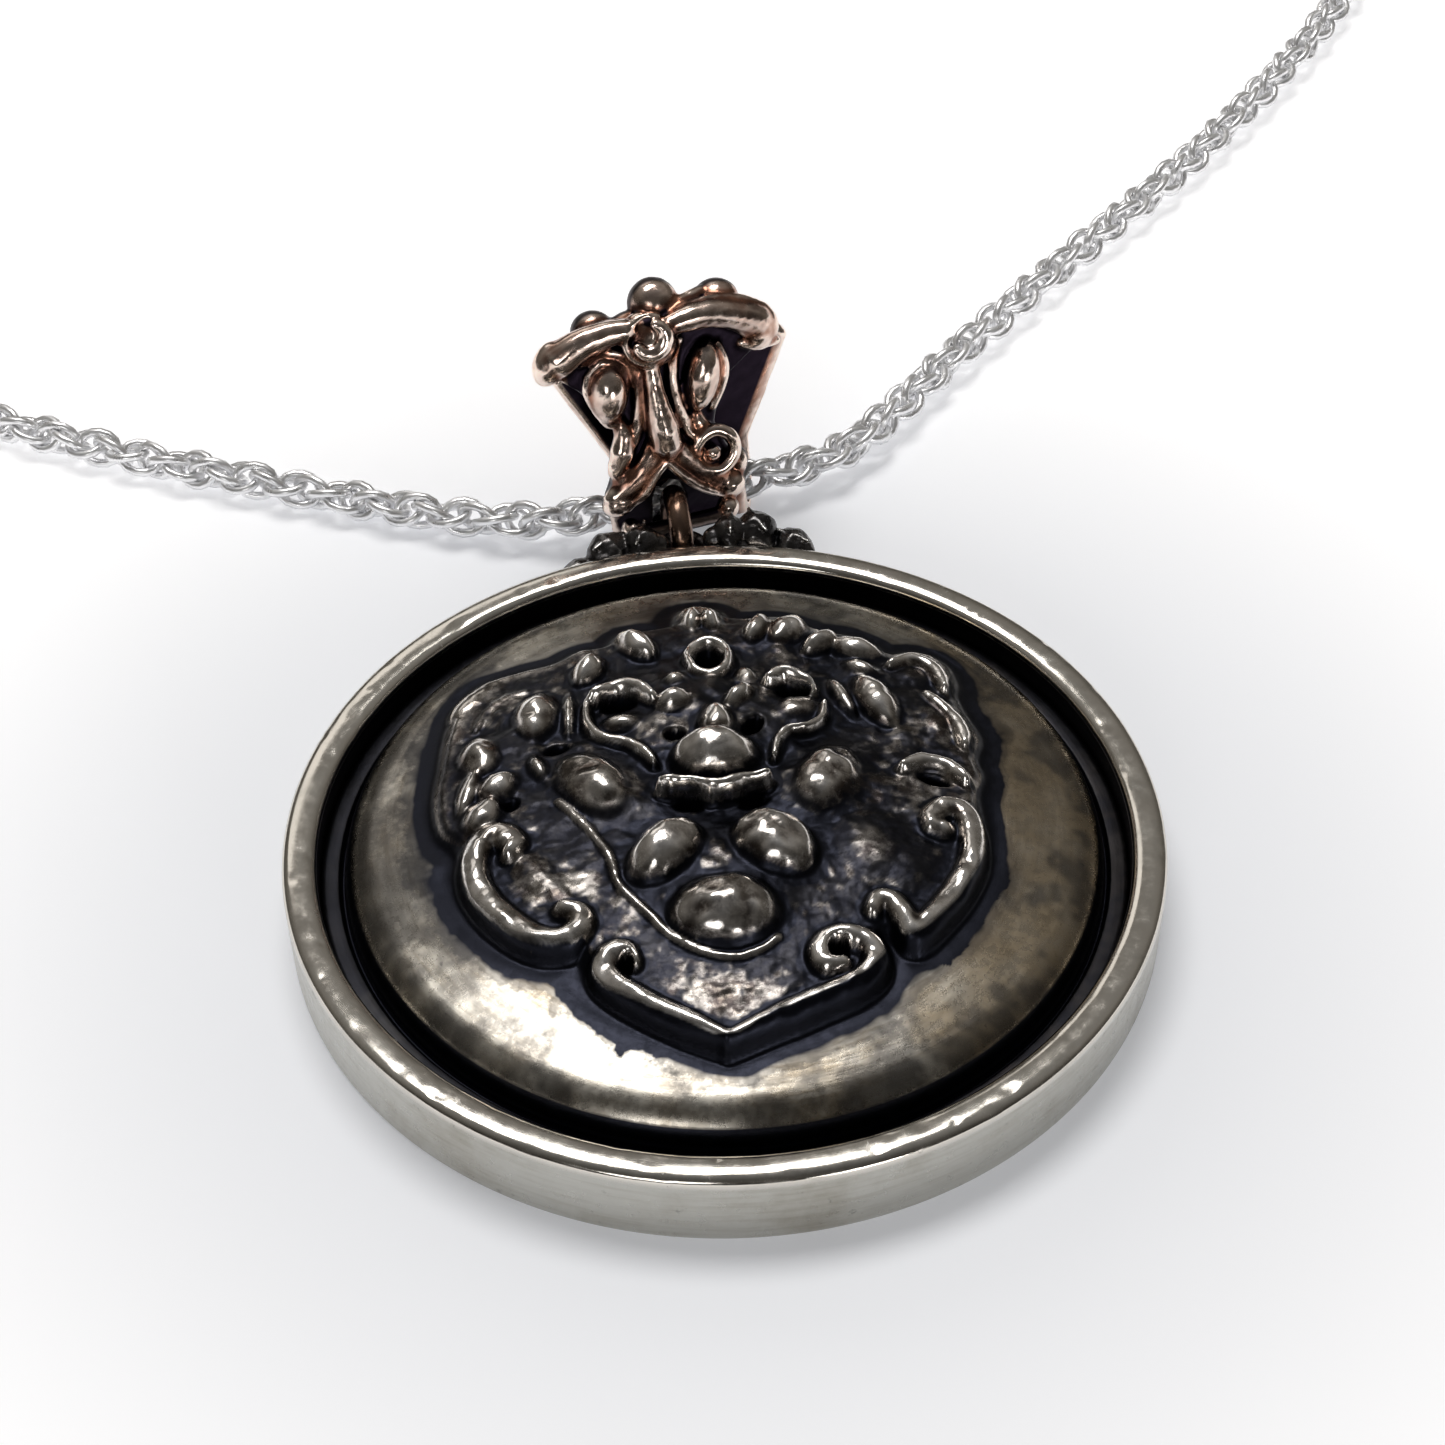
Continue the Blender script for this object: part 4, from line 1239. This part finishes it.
# Floor, light and camera
studio = {
    "floorNear": (0.80, 0.815, 0.855),
    "floorFar": (0.93, 0.93, 0.94),
    "glowNear": 0.28,
    "glowFar": 0.50,
    "floorReach": 0.9,
    "paleFrom": 0.012,  # the paper grows paler between these distances from the pendant
    "paleTo": 0.042,
    # World by height: share of the way from the horizon to straight up, and the light there.
    "sky": [(0.0, (0.085, 0.08, 0.072)), (0.35, (0.12, 0.112, 0.10)), (0.62, (0.20, 0.19, 0.175)),
            (0.85, (0.22, 0.215, 0.205)), (1.0, (0.20, 0.20, 0.20))],
    "frontSky": 0.35,  # the sky behind the photographer is this dim
    "dimFrom": -0.5,
    "dimTo": 0.15,
    # Lights: name, place and target in metres, width, depth, watts, colour.
    "lights": [
        ("keyLight", (-0.05, 0.165, 0.46), (0, 0, 0), 0.34, 0.20, 1.2, (1.0, 0.985, 0.96)),
        ("rearLight", (-0.16, 0.44, 0.30), (0, 0, 0), 0.34, 0.20, 0.14, (1.0, 0.97, 0.93)),
        ("frontLight", (-0.16, -0.46, 0.22), (0, 0.01, 0), 0.20, 0.18, 0.30, (1.0, 0.99, 0.98)),
        ("lowLight", (0.21, -0.46, 0.062), (0, 0.02, 0.006), 0.16, 0.09, 0.34, (1.0, 0.99, 0.98)),
    ],
}
camera = {
    "place": (-3.81, -68.09, 73.35),  # mm
    "right": (0.9984, -0.0558, 0.0),
    "backward": (-0.0388, -0.694, 0.7186),
    "roll": 1.0,
    "lens": 67.266,
    "shiftX": -0.001,
    "shiftY": 0.0761,
}


def makeFloor():
    bpy.ops.mesh.primitive_plane_add(size=2 * studio["floorReach"])
    floor = bpy.context.object
    floor.name = "paleFloor"
    material = bpy.data.materials.new("paleFloor")
    material.use_nodes = True
    add, links = nodeMaker(material.node_tree), material.node_tree.links
    shader = material.node_tree.nodes["Principled BSDF"]
    shader.inputs["Roughness"].default_value = 0.55
    shader.inputs["Specular IOR Level"].default_value = 0.25
    reach = add("ShaderNodeVectorMath", {0: add("ShaderNodeTexCoord")["Object"]}, operation="LENGTH")["Value"]
    paling = {"Value": reach, "From Min": studio["paleFrom"], "From Max": studio["paleTo"]}
    spread = add("ShaderNodeMapRange", paling, interpolation_type="SMOOTHSTEP")["Result"]
    tints = {0: spread, 6: (*studio["floorNear"], 1), 7: (*studio["floorFar"], 1)}
    tint = add("ShaderNodeMix", tints, data_type="RGBA")[2]
    # The paper glows a little, as a bleached background does.
    glows = {"Value": spread, "To Min": studio["glowNear"], "To Max": studio["glowFar"]}
    glow = add("ShaderNodeMapRange", glows)["Result"]
    for socket, value in (("Base Color", tint), ("Emission Color", tint), ("Emission Strength", glow)):
        links.new(value, shader.inputs[socket])
    floor.data.materials.append(material)


def makeLights():
    for name, place, target, width, depth, watts, colour in studio["lights"]:
        light = bpy.data.lights.new(name, "AREA")
        light.shape = "ELLIPSE"
        light.size, light.size_y = width, depth
        light.energy = watts
        light.color = colour
        lamp = bpy.data.objects.new(name, light)
        lamp.location = place
        lamp.visible_camera = False
        lamp.rotation_euler = (Vector(target) - Vector(place)).to_track_quat("-Z", "Y").to_euler()
        scene.collection.objects.link(lamp)
    world = bpy.data.worlds.new("studioWorld")
    world.use_nodes = True
    add, links = nodeMaker(world.node_tree), world.node_tree.links
    nodes = world.node_tree.nodes
    way = add("ShaderNodeSeparateXYZ", {"Vector": add("ShaderNodeTexCoord")["Generated"]})
    ramp = nodes.new("ShaderNodeValToRGB")
    for number, (height, colour) in enumerate(studio["sky"]):
        stop = ramp.color_ramp.elements[number] if number < 2 else ramp.color_ramp.elements.new(height)
        stop.position, stop.color = height, (*colour, 1)
    dimming = {"Value": way["Y"], "From Min": studio["dimFrom"], "From Max": studio["dimTo"],
               "To Min": studio["frontSky"]}
    dim = add("ShaderNodeMapRange", dimming)["Result"]
    links.new(way["Z"], ramp.inputs["Fac"])
    links.new(ramp.outputs["Color"], nodes["Background"].inputs["Color"])
    links.new(dim, nodes["Background"].inputs["Strength"])
    scene.world = world


def makeCamera():
    view = bpy.data.cameras.new("photoView")
    view.lens = camera["lens"]
    view.sensor_width = 36
    view.shift_x, view.shift_y = camera["shiftX"], camera["shiftY"]
    view.clip_start = 0.001
    back, right = Vector(camera["backward"]).normalized(), Vector(camera["right"]).normalized()
    up = back.cross(right).normalized()
    right = up.cross(back)
    roll = math.radians(camera["roll"])
    turnedRight = math.cos(roll) * right - math.sin(roll) * up
    turnedUp = math.cos(roll) * up + math.sin(roll) * right
    turn = Matrix((turnedRight, turnedUp, back)).transposed()
    eye = bpy.data.objects.new("photoView", view)
    eye.matrix_world = Matrix.Translation(Vector(camera["place"]) * mm) @ turn.to_4x4()
    scene.collection.objects.link(eye)
    scene.camera = eye


makeFloor()
makeLights()
makeCamera()
scene.view_settings.view_transform = "Standard"
bpy.context.view_layer.update()
print("stage set")
